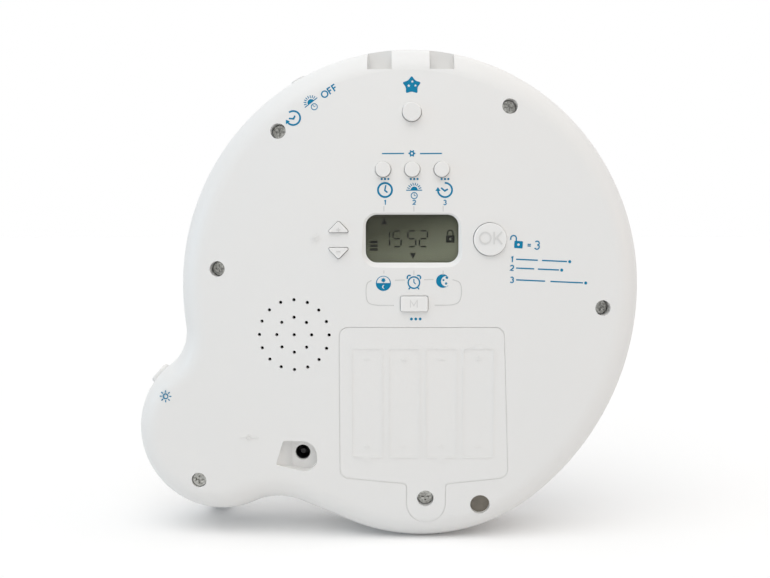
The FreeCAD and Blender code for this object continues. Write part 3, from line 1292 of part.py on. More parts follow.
def make_light_leads():
    """The wires from the main board to the lamp's board, the lobe, the light key and the slide switch."""
    front = BOARD_Y + BOARD_THICKNESS
    main = through(LAMP_LEAD, front, LED_BOARD_Y)
    lobe = through(LOBE_LEAD, LED_BOARD_Y, LOBE_BOARD_Y)
    _, _, body, _ = light_levels()
    x, z = polar((LOBE_X, LOBE_Z), body - SWITCH_BODY - BOARD_THICKNESS / 2, LIGHT_KEY_ANGLE)
    edge = LIGHT_KEY_Y + LIGHT_BOARD[1] / 2
    key = through([(x, LIGHT_KEY_LEAD_END[1], z), LIGHT_KEY_LEAD_END], edge, LOBE_BOARD_Y)
    centre, _, _, top = slide_levels()
    start = top - SLIDE_BODY[2]
    slide_x, slide_z = polar(centre, start, SLIDE_ANGLE)
    inner_x, inner_z = polar(centre, start - SLIDE_LEAD_STRAIGHT, SLIDE_ANGLE)
    slide = [(slide_x, SLIDE_Y, slide_z), (inner_x, SLIDE_Y, inner_z), SLIDE_LEAD_END]
    slide.append((SLIDE_LEAD_END[0], front, SLIDE_LEAD_END[2]))
    routes = [main, moved(main, LEAD_PITCH, 0), lobe, moved(lobe, LEAD_PITCH, LEAD_PITCH), key, slide]
    return leads(routes)


def make_jack_leads():
    front = BOARD_Y + BOARD_THICKNESS
    back = POCKET_FLOOR_Y + POCKET_WALL + JACK_BODY[2]
    route = through([(JACK_X, JACK_LEAD_Y, JACK_Z), *JACK_LEAD], back, front)
    return leads([route, moved(route, LEAD_PITCH, LEAD_PITCH / 4)])


def make_plug():
    return rod(*PLUG_SCREW, PLUG_RECESS, *PLUG_Y)


def make_case_screws():
    places = CASE_SCREWS + (PLUG_SCREW,)
    screws = [screw(x, z, SCREW_SEAT_Y, SCREW_TIP_Y, SCREW_HEAD, SCREW_SHANK) for x, z in places]
    return Part.makeCompound(screws)


def make_feet():
    return Part.makeCompound([rear_pad(), front_pad(), leg_pad()])


def build():
    save("rear_shell", make_rear_shell())
    save("front_shell", make_front_shell())
    save("case_screws", make_case_screws())
    save("screw_plug", make_plug())
    save("feet", make_feet())
    save("front_diffuser", make_diffuser())
    save("sun_lens", make_insert(sun_face(0.0)))
    save("moon_lens", make_insert(moon_face(0.0)))
    save("lobe_lens", make_lens(LOBE_X, LOBE_Z, LOBE_LENS_RADIUS, LOBE_LENS_APEX_Y))
    save("lobe_cup", make_lobe_cup())
    save("reflector", make_reflector())
    save("light_screws", make_light_screws())
    save("led_board", make_led_board())
    save("leds", make_leds())
    save("lobe_board", make_lobe_board())
    save("lobe_led", led(LOBE_X, LOBE_Z, LOBE_BOARD_Y + BOARD_THICKNESS))
    save("lcd_window", plate(WINDOW_Y, WINDOW_THICKNESS))
    save("lcd_panel", plate(LCD_Y, LCD_THICKNESS))
    save("lcd_holder", make_display_holder())
    save("zebra_strips", make_zebra_strips())
    save("main_board", make_main_board())
    save("board_chips", make_board_chips())
    save("board_screws", make_board_screws())
    save("tact_switches", make_switches())
    for name, face, x, z, height in key_table():
        save(name, make_key(face, x, z, height))
    save("light_button", make_light_button())
    save("light_switch_board", make_light_switch_board())
    save("slide_knob", make_slide_knob())
    save("slide_switch", make_slide_switch())
    save("speaker_gasket", make_speaker_gasket())
    save("speaker_basket", make_speaker_basket())
    save("speaker_cone", make_speaker_cone())
    save("speaker_magnet", make_speaker_magnet())
    save("battery_door", make_battery_door())
    save("door_screw", make_door_screw())
    save("door_clip", make_door_clip())
    save("battery_contacts", make_contacts())
    save("battery_cells", make_cells())
    save("dc_jack", make_jack())
    save("dc_pin", make_jack_pin())
    save("battery_leads", make_battery_leads())
    save("speaker_leads", make_speaker_leads())
    save("light_leads", make_light_leads())
    save("jack_leads", make_jack_leads())


FAR_BACK = -45.0
REACH = 150.0
ALONG_Y = Vector(0, 1, 0)
BOTTOM_Z = housing_arcs()[-2][0][1] - BOTTOM_RADIUS
CENTRE_HEIGHT = FOOT_SHOW - BOTTOM_Z
TO_ORIGIN = Vector(-BOTTOM_CENTRE_X, -sum(REAR_FOOT_Y) / 2, CENTRE_HEIGHT)
RIM_SHIFT = (TOP_HEIGHT - HALF_WIDTH) / (2 - math.sqrt(2))
SWITCH_FREE = KEY_TRAVEL + GAP
SWITCH_TOP_Y = BOARD_Y - SWITCH_BODY - PLUNGER_LENGTH

if __name__ == "__main__":
    build()
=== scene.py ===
import math

import bpy
from mathutils import Matrix, Vector
from mathutils.geometry import delaunay_2d_cdt


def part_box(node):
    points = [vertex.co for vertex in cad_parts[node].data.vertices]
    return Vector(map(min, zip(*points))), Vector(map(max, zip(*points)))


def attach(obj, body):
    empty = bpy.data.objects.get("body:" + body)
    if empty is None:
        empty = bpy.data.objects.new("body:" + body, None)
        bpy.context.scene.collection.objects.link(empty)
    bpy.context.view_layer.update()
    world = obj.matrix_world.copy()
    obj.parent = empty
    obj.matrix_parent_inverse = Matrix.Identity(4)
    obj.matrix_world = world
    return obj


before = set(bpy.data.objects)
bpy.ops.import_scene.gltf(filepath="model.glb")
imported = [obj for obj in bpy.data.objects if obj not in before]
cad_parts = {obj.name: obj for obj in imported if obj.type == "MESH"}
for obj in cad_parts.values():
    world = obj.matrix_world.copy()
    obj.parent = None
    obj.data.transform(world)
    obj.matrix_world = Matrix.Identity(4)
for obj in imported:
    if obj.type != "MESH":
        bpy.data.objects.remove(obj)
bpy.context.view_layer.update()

# Kids' alarm clock with a night light, seen from its back, which faces -Y. +Z is up.
# Drawings on the back are in millimetres. MM turns them into metres.
MM = 0.001

# Camera, in pixels of the photograph and millimetres. AHEAD_PX is the pixel that lies straight along +Y.
IMAGE = (770.0, 578.0)
FOCAL_PX = 1028.0
AHEAD_PX = (400.0, 235.0)
SENSOR = 36.0
CAMERA_AT = (-8.22, -423.0, 122.58)

# Back surface: part of a sphere
DOME_RADIUS = 650.0
DOME_X = -4.5
DOME_Z = 98.26
APEX_Y = -23.0

# Height of marks over what carries them, and how deep they are rooted in it. The lowest marks are on the
# display and on the mode key, which reaches farthest back.
PRINT_HEIGHT = 0.04
RELIEF_HEIGHT = 0.22
LOW_HEIGHT = 0.03
MARK_ROOT = 0.08

# Drawn lines: degrees in a step of an arc, steps in a bend, longest step of a straight line, and a limit that
# keeps sharp corners short
CURVE_STEP = 8.0
BEND_STEPS = 6
LINE_STEP = 1.5
CORNER_LIMIT = 0.5

# Battery door: sides, top, lower corners, shoulders beside the screw tab, and the tab
DOOR_LEFT = -32.2
DOOR_RIGHT = 32.6
DOOR_RIGHT_LOW = 34.8
DOOR_TOP = 86.66
DOOR_CORNER_Z = 25.96
DOOR_ROUNDING = 3.6
SHOULDER_Z = 23.56
SHOULDER_ROUNDING = 1.6
TAB_X = 2.1
TAB_HALF = 7.9
TAB_END_Z = 7.66
TAB_ROUND_SHARE = 0.99

# Light strip of the seam round the door: width beside it, width below it, and depth
SEAM_WIDTH = 0.2
SEAM_LOW_WIDTH = 0.38
SEAM_DEPTH = 0.3

# Raised outlines of the cells on the door
CELL_COUNT = 4
CELL_WIDTH = 12.4
CELL_HEIGHT = 44.0
CELL_CORNER = 1.0
CELL_INNER_CORNER = 0.7
CELL_LINE = 0.4
NUB_WIDTH = 3.6
NUB_HEIGHT = 1.4
NUB_CORNER = 0.3
CELL_SIGN_Z = 17.5
CELL_SIGN_REACH = 1.2


def pixel_ray(u, v):
    """Direction of a pixel of the photograph as right, down and ahead of the camera."""
    return Vector(((u - IMAGE[0] / 2) / FOCAL_PX, (v - IMAGE[1] / 2) / FOCAL_PX, 1.0))


def camera_turn():
    """Matrix from the camera's right, down and ahead to the frame."""
    y_axis = pixel_ray(*AHEAD_PX).normalized()
    up = Vector((0.0, -1.0, 0.0))
    z_axis = (up - up.dot(y_axis) * y_axis).normalized()
    return Matrix((y_axis.cross(z_axis), y_axis, z_axis))


def spot_ray(u, v):
    """Direction in the frame from the camera through a pixel."""
    return camera_turn() @ pixel_ray(u, v)


def spot(u, v):
    """The point (x, z) of the back surface that a pixel shows, in millimetres."""
    start, ray = Vector(CAMERA_AT), spot_ray(u, v).normalized()
    centre = Vector((DOME_X, APEX_Y + DOME_RADIUS, DOME_Z))
    along = ray.dot(centre - start)
    miss = (centre - start).length_squared - along**2
    hit = start + ray * (along - math.sqrt(DOME_RADIUS**2 - miss))
    return hit.x, hit.z


def spot_at(u, v, y):
    """The point (x, z) that a pixel shows on the plane at depth y."""
    start, ray = Vector(CAMERA_AT), spot_ray(u, v)
    hit = start + ray * ((y - start.y) / ray.y)
    return hit.x, hit.z


def dome_y(x, z):
    return APEX_Y + DOME_RADIUS - math.sqrt(DOME_RADIUS**2 - (x - DOME_X) ** 2 - (z - DOME_Z) ** 2)


# Flat drawing. A shape is a list of loops, where the first is its edge and the others are holes.
def turn_steps(start, end, count):
    return [math.radians(start + (end - start) * i / count) for i in range(count + 1)]


def circle(x, z, radius, count=36):
    return [(x + radius * math.cos(a), z + radius * math.sin(a)) for a in turn_steps(0.0, 360.0, count)[:-1]]


def arc(x, z, radius, start, end):
    count = max(2, math.ceil(abs(end - start) / CURVE_STEP))
    return [(x + radius * math.cos(a), z + radius * math.sin(a)) for a in turn_steps(start, end, count)]


def disc(x, z, radius):
    return [circle(x, z, radius)]


def ring(x, z, radius, width):
    return [circle(x, z, radius), circle(x, z, radius - width)]


def rectangle(x, z, width, height, corner):
    """A rectangle about (x, z) with round corners."""
    loop = []
    for side_x, side_z, start in ((1, 1, 0.0), (-1, 1, 90.0), (-1, -1, 180.0), (1, -1, 270.0)):
        corner_x = x + side_x * (width / 2 - corner)
        corner_z = z + side_z * (height / 2 - corner)
        loop += arc(corner_x, corner_z, corner, start, start + 90.0)
    return [loop]


def dense(points):
    """The points with more between them, so that long lines follow the surface."""
    out = [points[0]]
    for a, b in zip(points, points[1:]):
        count = max(1, math.ceil(math.dist(a, b) / LINE_STEP))
        for i in range(1, count + 1):
            out.append((a[0] + (b[0] - a[0]) * i / count, a[1] + (b[1] - a[1]) * i / count))
    return out


def dense_loop(loop):
    return dense(loop + loop[:1])[:-1]


def stroke(points, width):
    """A line of even width through the points, with square ends."""
    points = dense(points)
    left, right = [], []
    for i, (x, z) in enumerate(points):
        before, after = points[max(i - 1, 0)], points[min(i + 1, len(points) - 1)]
        normal = Vector((before[1] - after[1], after[0] - before[0])).normalized()
        reach = width / 2
        if 0 < i < len(points) - 1:
            side = Vector((before[1] - z, x - before[0])).normalized()
            reach /= max(CORNER_LIMIT, side.dot(normal))
        left.append((x + normal.x * reach, z + normal.y * reach))
        right.append((x - normal.x * reach, z - normal.y * reach))
    return [left + right[::-1]]


def bend(before, corner, after, share):
    """A smooth turn at a corner, over a share of the sides beside it."""
    before, corner, after = Vector(before), Vector(corner), Vector(after)
    start, end = corner.lerp(before, share), corner.lerp(after, share)
    turn = []
    for k in range(BEND_STEPS + 1):
        t = k / BEND_STEPS
        turn.append(tuple(start.lerp(corner, t).lerp(corner.lerp(end, t), t)))
    return turn


def rounded(points, share):
    """A loop whose corners are rounded, over a share of each side."""
    loop = []
    for i, corner in enumerate(points):
        loop += bend(points[i - 1], corner, points[(i + 1) % len(points)], share)
    return loop


def smooth_line(points):
    """An open line whose inner corners are rounded over half of each side."""
    line = [points[0]]
    for before, corner, after in zip(points, points[1:], points[2:]):
        line += bend(before, corner, after, 0.5)[1:]
    return line + [points[-1]]


def fillet(points, radii):
    """A loop whose corners are arcs of the given radii."""
    loop = []
    for i, (corner, radius) in enumerate(zip(points, radii)):
        here = Vector(corner)
        a = (Vector(points[i - 1]) - here).normalized()
        b = (Vector(points[(i + 1) % len(points)]) - here).normalized()
        half = a.angle(b) / 2
        centre = here + (a + b).normalized() * (radius / math.sin(half))
        start = here + a * (radius / math.tan(half)) - centre
        end = here + b * (radius / math.tan(half)) - centre
        turn = start.angle_signed(end)
        count = max(2, math.ceil(math.degrees(abs(turn)) / CURVE_STEP))
        for k in range(count + 1):
            angle = -turn * k / count
            c, s = math.cos(angle), math.sin(angle)
            loop.append((centre.x + start.x * c - start.y * s, centre.y + start.x * s + start.y * c))
    return loop


def star(x, z, radius, inner, points=5, share=0.3):
    spikes = []
    for i in range(2 * points):
        a = math.radians(90.0 + 180.0 * i / points)
        r = radius if i % 2 == 0 else inner
        spikes.append((x + r * math.cos(a), z + r * math.sin(a)))
    return rounded(spikes, share)


def rays(x, z, inner, outer, width, angles):
    shapes = []
    for degrees in angles:
        a = math.radians(degrees)
        ends = [(x + r * math.cos(a), z + r * math.sin(a)) for r in (inner, outer)]
        shapes.append(stroke(ends, width))
    return shapes


def placed(shapes, x, z, degrees=0.0):
    """The shapes turned about the origin and moved to (x, z)."""
    c, s = math.cos(math.radians(degrees)), math.sin(math.radians(degrees))

    def moved(point_x, point_z):
        return x + point_x * c - point_z * s, z + point_x * s + point_z * c

    return [[[moved(*point) for point in loop] for loop in shape] for shape in shapes]


# Icons about the origin, in millimetres
def star_icon():
    """A star with three small stars cut out of it."""
    spots = [(0.25, 1.55, 0.62), (-1.15, -0.1, 0.7), (1.45, -0.05, 0.6)]
    return [[star(0, 0, 3.9, 2.35, 5, 0.34)] + [star(x, z, r, 0.5 * r, 5, 0.1) for x, z, r in spots]]


def clock_icon():
    radius = 3.1
    hands = [(0.1 * radius, 0.6 * radius), (-0.03 * radius, -0.05 * radius), (0.32 * radius, -0.32 * radius)]
    return [ring(0, 0, radius, 0.75), stroke(hands, 0.55)]


def small_clock(x, z):
    radius = 1.35
    hands = stroke([(x, z + 0.6 * radius), (x, z), (x + 0.5 * radius, z)], 0.22)
    return [ring(x, z, radius, 0.32), hands]


def sunrise_icon():
    """A half sun on its horizon, over a small clock."""
    half_sun = [arc(0, 0, 1.4, 0.0, 180.0)]
    horizon = stroke([(-3.1, 0.0), (3.1, 0.0)], 0.36)
    return [half_sun, horizon] + rays(0, 0, 1.85, 2.9, 0.34, range(20, 161, 20)) + small_clock(0, -2.1)


def back_arrow_icon():
    """A clock whose ring is an arrow that turns back."""
    circle_part = stroke(arc(0, 0, 2.75, 92.0, -178.0), 0.7)
    head = [[(-3.75, -0.35), (-1.75, -0.35), (-2.75, 1.15)]]
    hands = stroke([(-1.5, 0.85), (-0.1, -0.35), (1.1, 0.35)], 0.6)
    return [circle_part, head, hands]


def day_night_icon():
    """A disc that is open above, where a sun stands, with a moon cut out below."""
    upper_hole = arc(0, 0.15, 2.55, 0.0, 180.0)
    moon = arc(0.25, -1.35, 0.75, 60.0, 300.0) + arc(0.65, -1.35, 0.7, 270.0, 90.0)
    return [[circle(0, 0, 2.95), upper_hole, moon], [star(0, 1.25, 1.05, 0.6, 8, 0.2)]]


def alarm_icon():
    """A clock with two bells and two feet."""
    bells, feet = [], []
    for side in (-1, 1):
        middle = 90.0 - 45.0 * side
        bells.append(stroke(arc(side * 1.75, 1.75, 0.85, middle - 80.0, middle + 80.0), 0.55))
        feet.append(stroke([(side * 1.4, -2.0), (side * 2.0, -2.8)], 0.5))
    hands = stroke([(0.0, 1.2), (0.0, -0.1), (0.7, -0.8)], 0.4)
    return [ring(0, -0.2, 2.5, 0.55), hands] + bells + feet


def crescent_icon():
    """A moon with three stars beside it."""
    moon = [arc(0, 0, 2.65, 55.0, 320.0) + arc(1.35, -0.1, 2.05, 290.0, 90.0)]
    spots = [(1.55, 1.35, 0.72), (0.2, 0.35, 0.5), (1.25, -0.95, 0.62)]
    return [moon] + [[star(x, z, r, 0.6 * r)] for x, z, r in spots]


def padlock_icon(open_side):
    body = rectangle(0, 0, 3.35, 2.85, 0.35)
    keyhole = circle(0, 0, 0.5, 12)
    shift = -2.1 if open_side else 0.0
    shackle = stroke([(shift + 1.1, 1.3)] + arc(shift, 2.3, 1.1, 0.0, 180.0) + [(shift - 1.1, 1.6)], 0.5)
    return [body + [keyhole], shackle]


def sun_icon(inner, outer, width):
    """A ring with eight rays."""
    angles = [45.0 * i for i in range(8)]
    return [ring(0, 0, inner, width)] + rays(0, 0, inner + 0.35, outer, width, angles)


def cog_icon():
    teeth = rays(0, 0, 0.8, 1.35, 0.5, [60.0 * i for i in range(6)])
    return [[circle(0, 0, 1.0), circle(0, 0, 0.42)]] + teeth


def polarity_icon():
    """The usual sign for a plug with a positive pin: minus, ring and dot, plus."""
    minus = [stroke([(-3.9, 0), (-2.9, 0)], 0.25)]
    plus = [stroke([(2.9, 0), (3.9, 0)], 0.25), stroke([(3.4, -0.5), (3.4, 0.5)], 0.25)]
    links = [stroke([(-2.6, 0), (-1.1, 0)], 0.25), stroke([(0.3, 0), (2.6, 0)], 0.25)]
    return minus + plus + links + [stroke(arc(0, 0, 1.1, 40.0, 320.0), 0.25), disc(0, 0, 0.4)]


def minus_sign(reach, width, x=0.0, z=0.0):
    return [stroke([(x - reach, z), (x + reach, z)], width)]


def plus_sign(reach, width, x=0.0, z=0.0):
    return minus_sign(reach, width, x, z) + [stroke([(x, z - reach), (x, z + reach)], width)]


def three_dots(pitch, radius):
    return [disc(side * pitch, 0.0, radius) for side in (-1, 0, 1)]


# Plain letters and digits in a box that is 1 high: the width, then the lines
LETTERS = {
    "O": (0.95, [arc(0.475, 0.5, 0.45, 0.0, 360.0)]),
    "F": (0.6, [[(0.08, 0.0), (0.08, 0.93), (0.58, 0.93)], [(0.08, 0.5), (0.5, 0.5)]]),
    "K": (0.75, [[(0.08, 0.0), (0.08, 1.0)], [(0.7, 1.0), (0.14, 0.42)], [(0.3, 0.55), (0.72, 0.0)]]),
    "M": (1.0, [[(0.08, 0.0), (0.08, 0.92), (0.5, 0.25), (0.92, 0.92), (0.92, 0.0)]]),
    "1": (0.4, [[(0.05, 0.78), (0.27, 0.93), (0.27, 0.0)]]),
    "2": (0.62, [arc(0.3, 0.66, 0.27, 165.0, -38.0) + [(0.06, 0.07), (0.6, 0.07)]]),
    "3": (0.62, [arc(0.28, 0.69, 0.24, 150.0, -80.0), arc(0.28, 0.27, 0.27, 85.0, -150.0)]),
    "=": (0.6, [[(0.0, 0.38), (0.5, 0.38)], [(0.0, 0.62), (0.5, 0.62)]]),
}
LETTER_SPACE = 0.16


def lettering(words, height, weight):
    """The words as strokes, about the origin. The weight is a stroke's width over the height."""
    shapes, at = [], 0.0
    for letter in words:
        width, lines = LETTERS[letter]
        for line in lines:
            shapes.append(stroke([((at + x) * height, (z - 0.5) * height) for x, z in line], weight * height))
        at += width + LETTER_SPACE
    return placed(shapes, -(at - LETTER_SPACE) * height / 2, 0.0)


# Meshes of the drawings
def inside(point, loop):
    """True if the loop goes round the point."""
    x, z = point
    found = False
    for (x0, z0), (x1, z1) in zip(loop, loop[1:] + loop[:1]):
        if (z0 > z) != (z1 > z) and x < x0 + (z - z0) * (x1 - x0) / (z1 - z0):
            found = not found
    return found


def in_shape(point, shape):
    return sum(inside(point, loop) for loop in shape) % 2 == 1


def filled(shapes):
    """One set of points and triangles that covers the shapes once, also where they overlap."""
    points, edges = [], []
    for shape in shapes:
        for loop in shape:
            first = len(points)
            points += [Vector(p) for p in loop]
            edges += [(first + i, first + (i + 1) % len(loop)) for i in range(len(loop))]
    found, _, faces, *_ = delaunay_2d_cdt(points, edges, [], 0, 1e-5)
    kept = []
    for face in faces:
        middle = sum((found[i] for i in face), Vector((0.0, 0.0))) / len(face)
        if any(in_shape(middle, shape) for shape in shapes):
            kept.append(tuple(face))
    return found, kept


def slab(name, shapes, place, height):
    """A thin closed mesh of the shapes, from just under the surface to height above it."""
    found, kept = filled(shapes)
    sides = {}
    for face in kept:
        for a, b in zip(face, face[1:] + face[:1]):
            sides[(a, b)] = True
    rim = [edge for edge in sides if (edge[1], edge[0]) not in sides]
    used = sorted({i for face in kept for i in face})
    number = {old: new for new, old in enumerate(used)}
    tops = [place(found[i].x, found[i].y, height) for i in used]
    roots = [place(found[i].x, found[i].y, -MARK_ROOT) for i in used]
    count = len(used)
    faces = [tuple(number[i] for i in face) for face in kept]
    faces += [tuple(number[i] + count for i in reversed(face)) for face in kept]
    faces += [(number[b], number[a], number[a] + count, number[b] + count) for a, b in rim]
    mesh = bpy.data.meshes.new(name)
    mesh.from_pydata([Vector(p) * MM for p in tops + roots], [], faces)
    mesh.validate()
    mesh.update()
    piece = bpy.data.objects.new(name, mesh)
    bpy.context.scene.collection.objects.link(piece)
    return piece


def on_dome(x, z, lift):
    return x, dome_y(x, z) - lift, z


def on_plane(y):
    return lambda x, z, lift: (x, y - lift, z)


def mark(name, shapes, material, body="housing", place=on_dome, height=PRINT_HEIGHT):
    """A printed or raised mark that rides on a body."""
    piece = slab(name, shapes, place, height)
    piece.data.materials.append(material)
    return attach(piece, body)


# Materials. The shade of the display's bezel is painted on the display: its colour runs from painted shade at
# the upper left to the unshaded colour, getting lighter along the first direction below, between two shares
# of its reach.
LCD_SHADE_FADES = (0.3, 0.0, -1.0)
LCD_SHADE_FADE_SPAN = (-0.35, 0.5)
LCD_SHADED = (0.044, 0.044, 0.027)
LCD_UNSHADED = (0.165, 0.172, 0.122)
LCD_MOTTLE = 0.06
WINDOW_IOR = 1.15
WARM_WHITE = (1.0, 0.99, 0.97)
COOL_WHITE = (0.985, 0.99, 0.985)
GRAIN_STRENGTH = 0.4


def new_material(name):
    made = bpy.data.materials.new(name)
    made.use_nodes = True
    return made, made.node_tree, made.node_tree.nodes["Principled BSDF"]


def node(tree, kind, **settings):
    made = tree.nodes.new(kind)
    for key, value in settings.items():
        setattr(made, key, value)
    return made


def noise(tree, scale, detail=3.0):
    """Noise in the piece's own metres."""
    place = node(tree, "ShaderNodeTexCoord")
    made = node(tree, "ShaderNodeTexNoise")
    made.inputs["Scale"].default_value = scale
    made.inputs["Detail"].default_value = detail
    tree.links.new(place.outputs["Object"], made.inputs["Vector"])
    return made.outputs["Fac"]


def blend_colours(tree, share, first, second):
    mix = node(tree, "ShaderNodeMix", data_type="RGBA")
    tree.links.new(share, mix.inputs["Factor"])
    mix.inputs["A"].default_value = (*first, 1.0)
    mix.inputs["B"].default_value = (*second, 1.0)
    return mix.outputs["Result"]


def spread(tree, value, low, high, from_low=0.3, from_high=0.7):
    """The value stretched to run from low to high."""
    made = node(tree, "ShaderNodeMapRange")
    made.inputs["From Min"].default_value = from_low
    made.inputs["From Max"].default_value = from_high
    made.inputs["To Min"].default_value = low
    made.inputs["To Max"].default_value = high
    tree.links.new(value, made.inputs["Value"])
    return made.outputs["Result"]


def bump(tree, shader, height, strength, distance):
    made = node(tree, "ShaderNodeBump")
    made.inputs["Strength"].default_value = strength
    made.inputs["Distance"].default_value = distance
    tree.links.new(height, made.inputs["Height"])
    tree.links.new(made.outputs["Normal"], shader.inputs["Normal"])


def surface(name, first, second, rough=(0.35, 0.45), grain=1800.0, depth=0.00002, patch=25.0, metal=0.0,
            **sockets):
    """A procedural surface: two close colours in soft patches, uneven gloss and a fine grain."""
    made, tree, shader = new_material(name)
    patches = spread(tree, noise(tree, patch), 0.0, 1.0)
    tree.links.new(blend_colours(tree, patches, first, second), shader.inputs["Base Color"])
    tree.links.new(spread(tree, noise(tree, 3 * patch), *rough), shader.inputs["Roughness"])
    shader.inputs["Metallic"].default_value = metal
    for key, value in sockets.items():
        shader.inputs[key.replace("_", " ")].default_value = value
    bump(tree, shader, noise(tree, grain, 2.0), GRAIN_STRENGTH, depth)
    return made


def white_plastic(name, tone, rough):
    warm, cool = ([tone * part for part in white] for white in (WARM_WHITE, COOL_WHITE))
    return surface(name, warm, cool, rough=rough, grain=2200.0, depth=0.000012, patch=9.0)


def white_finishes():
    return {
        # The raised signs on the keys are the keys' white, darkened to paint the shade round their relief
        "raised": white_plastic("raised_white_painted_shade", 0.7, (0.36, 0.44)),
        "shell": white_plastic("shell_white", 0.83, (0.36, 0.44)),
        "key": white_plastic("key_white", 0.85, (0.3, 0.36)),
        "door": white_plastic("door_white", 0.83, (0.38, 0.46)),
        "relief": white_plastic("relief_white", 0.82, (0.36, 0.44)),
    }


def print_finishes():
    return {
        "print": surface("print_blue", (0.001, 0.19, 0.36), (0.003, 0.22, 0.4), rough=(0.4, 0.55),
                         grain=3000.0, patch=400.0, Specular_IOR_Level=0.15),
        "line": surface("print_grey", (0.6, 0.6, 0.59), (0.66, 0.66, 0.65), rough=(0.4, 0.55), patch=300.0),
    }


def display_finishes():
    return {
        "segment": surface("lcd_segment", (0.01, 0.01, 0.009), (0.016, 0.016, 0.013), rough=(0.5, 0.6),
                           patch=200.0, Specular_IOR_Level=0.1),
        "faint": surface("lcd_faint", (0.045, 0.045, 0.032), (0.055, 0.056, 0.04), rough=(0.5, 0.6),
                         patch=200.0, Specular_IOR_Level=0.1),
        "lcd": display_glass(),
        "window": clear_window(),
    }


def trim_finishes():
    """Screws, pin, plug and pads, which show on the outside."""
    return {
        # The pin's metal is painted nearly black, as painted shade deep inside the jack
        "pin": surface("pin_painted_shade", (0.012, 0.012, 0.012), (0.02, 0.02, 0.02), rough=(0.25, 0.35),
                       patch=300.0, metal=0.5),
        "screw": surface("screw_steel", (0.2, 0.2, 0.185), (0.62, 0.62, 0.59), rough=(0.3, 0.5),
                         grain=4000.0, patch=1300.0, metal=0.85),
        # The plug is tan, and darker than its own colour to paint the shade deep in its hole
        "plug": surface("plug_tan", (0.2, 0.18, 0.15), (0.25, 0.225, 0.185), rough=(0.5, 0.6), patch=200.0),
        "rubber": surface("foot_rubber", (0.55, 0.56, 0.57), (0.6, 0.61, 0.62), rough=(0.6, 0.75),
                          grain=900.0, depth=0.00005),
    }


def lamp_finishes():
    return {
        "opal": surface("lamp_opal", (0.86, 0.85, 0.8), (0.9, 0.89, 0.85), rough=(0.3, 0.38), patch=12.0,
                        Subsurface_Weight=0.3, Subsurface_Scale=0.004),
        "amber": surface("lamp_amber", (0.86, 0.5, 0.08), (0.92, 0.58, 0.12), rough=(0.28, 0.36), patch=40.0,
                         Subsurface_Weight=0.25, Subsurface_Scale=0.003),
        "blue": surface("lamp_blue", (0.16, 0.4, 0.72), (0.2, 0.46, 0.78), rough=(0.28, 0.36), patch=40.0,
                        Subsurface_Weight=0.25, Subsurface_Scale=0.003),
    }


def electric_finishes():
    """Boards, moulded parts, springs, cells, strips and wires inside."""
    return {
        "board": surface("board_green", (0.02, 0.1, 0.035), (0.03, 0.13, 0.05), rough=(0.3, 0.45),
                         patch=300.0),
        "led": surface("led_package", (0.8, 0.7, 0.3), (0.85, 0.76, 0.36), rough=(0.25, 0.35), patch=500.0),
        "black": surface("moulded_black", (0.006, 0.006, 0.007), (0.011, 0.011, 0.012), rough=(0.35, 0.5)),
        "zinc": surface("plated_spring", (0.5, 0.49, 0.46), (0.62, 0.61, 0.58), rough=(0.2, 0.35),
                        patch=300.0, metal=1.0),
        "cell": surface("cell_wrap", (0.03, 0.04, 0.07), (0.045, 0.06, 0.1), rough=(0.2, 0.3), patch=60.0),
        "zebra": surface("zebra_strip", (0.42, 0.16, 0.18), (0.5, 0.2, 0.22), rough=(0.6, 0.7), patch=500.0),
        "wire": surface("wire_cover", (0.3, 0.01, 0.01), (0.38, 0.018, 0.015), rough=(0.35, 0.45),
                        patch=100.0),
    }


def speaker_finishes():
    return {
        "paper": surface("speaker_paper", (0.004, 0.004, 0.004), (0.008, 0.008, 0.008), rough=(0.75, 0.9),
                         grain=900.0, depth=0.00008, patch=150.0),
        "foam": surface("gasket_foam", (0.008, 0.008, 0.009), (0.02, 0.02, 0.021), rough=(0.8, 0.95),
                        grain=1200.0, depth=0.0001, patch=400.0),
        "steel": surface("painted_steel", (0.02, 0.02, 0.022), (0.035, 0.035, 0.038), rough=(0.4, 0.5)),
        "ferrite": surface("ferrite", (0.05, 0.05, 0.052), (0.075, 0.073, 0.072), rough=(0.5, 0.7),
                           patch=200.0),
    }


def make_materials():
    groups = (white_finishes, print_finishes, display_finishes, trim_finishes, lamp_finishes,
              electric_finishes, speaker_finishes)
    finishes = {}
    for group in groups:
        finishes.update(group())
    return finishes


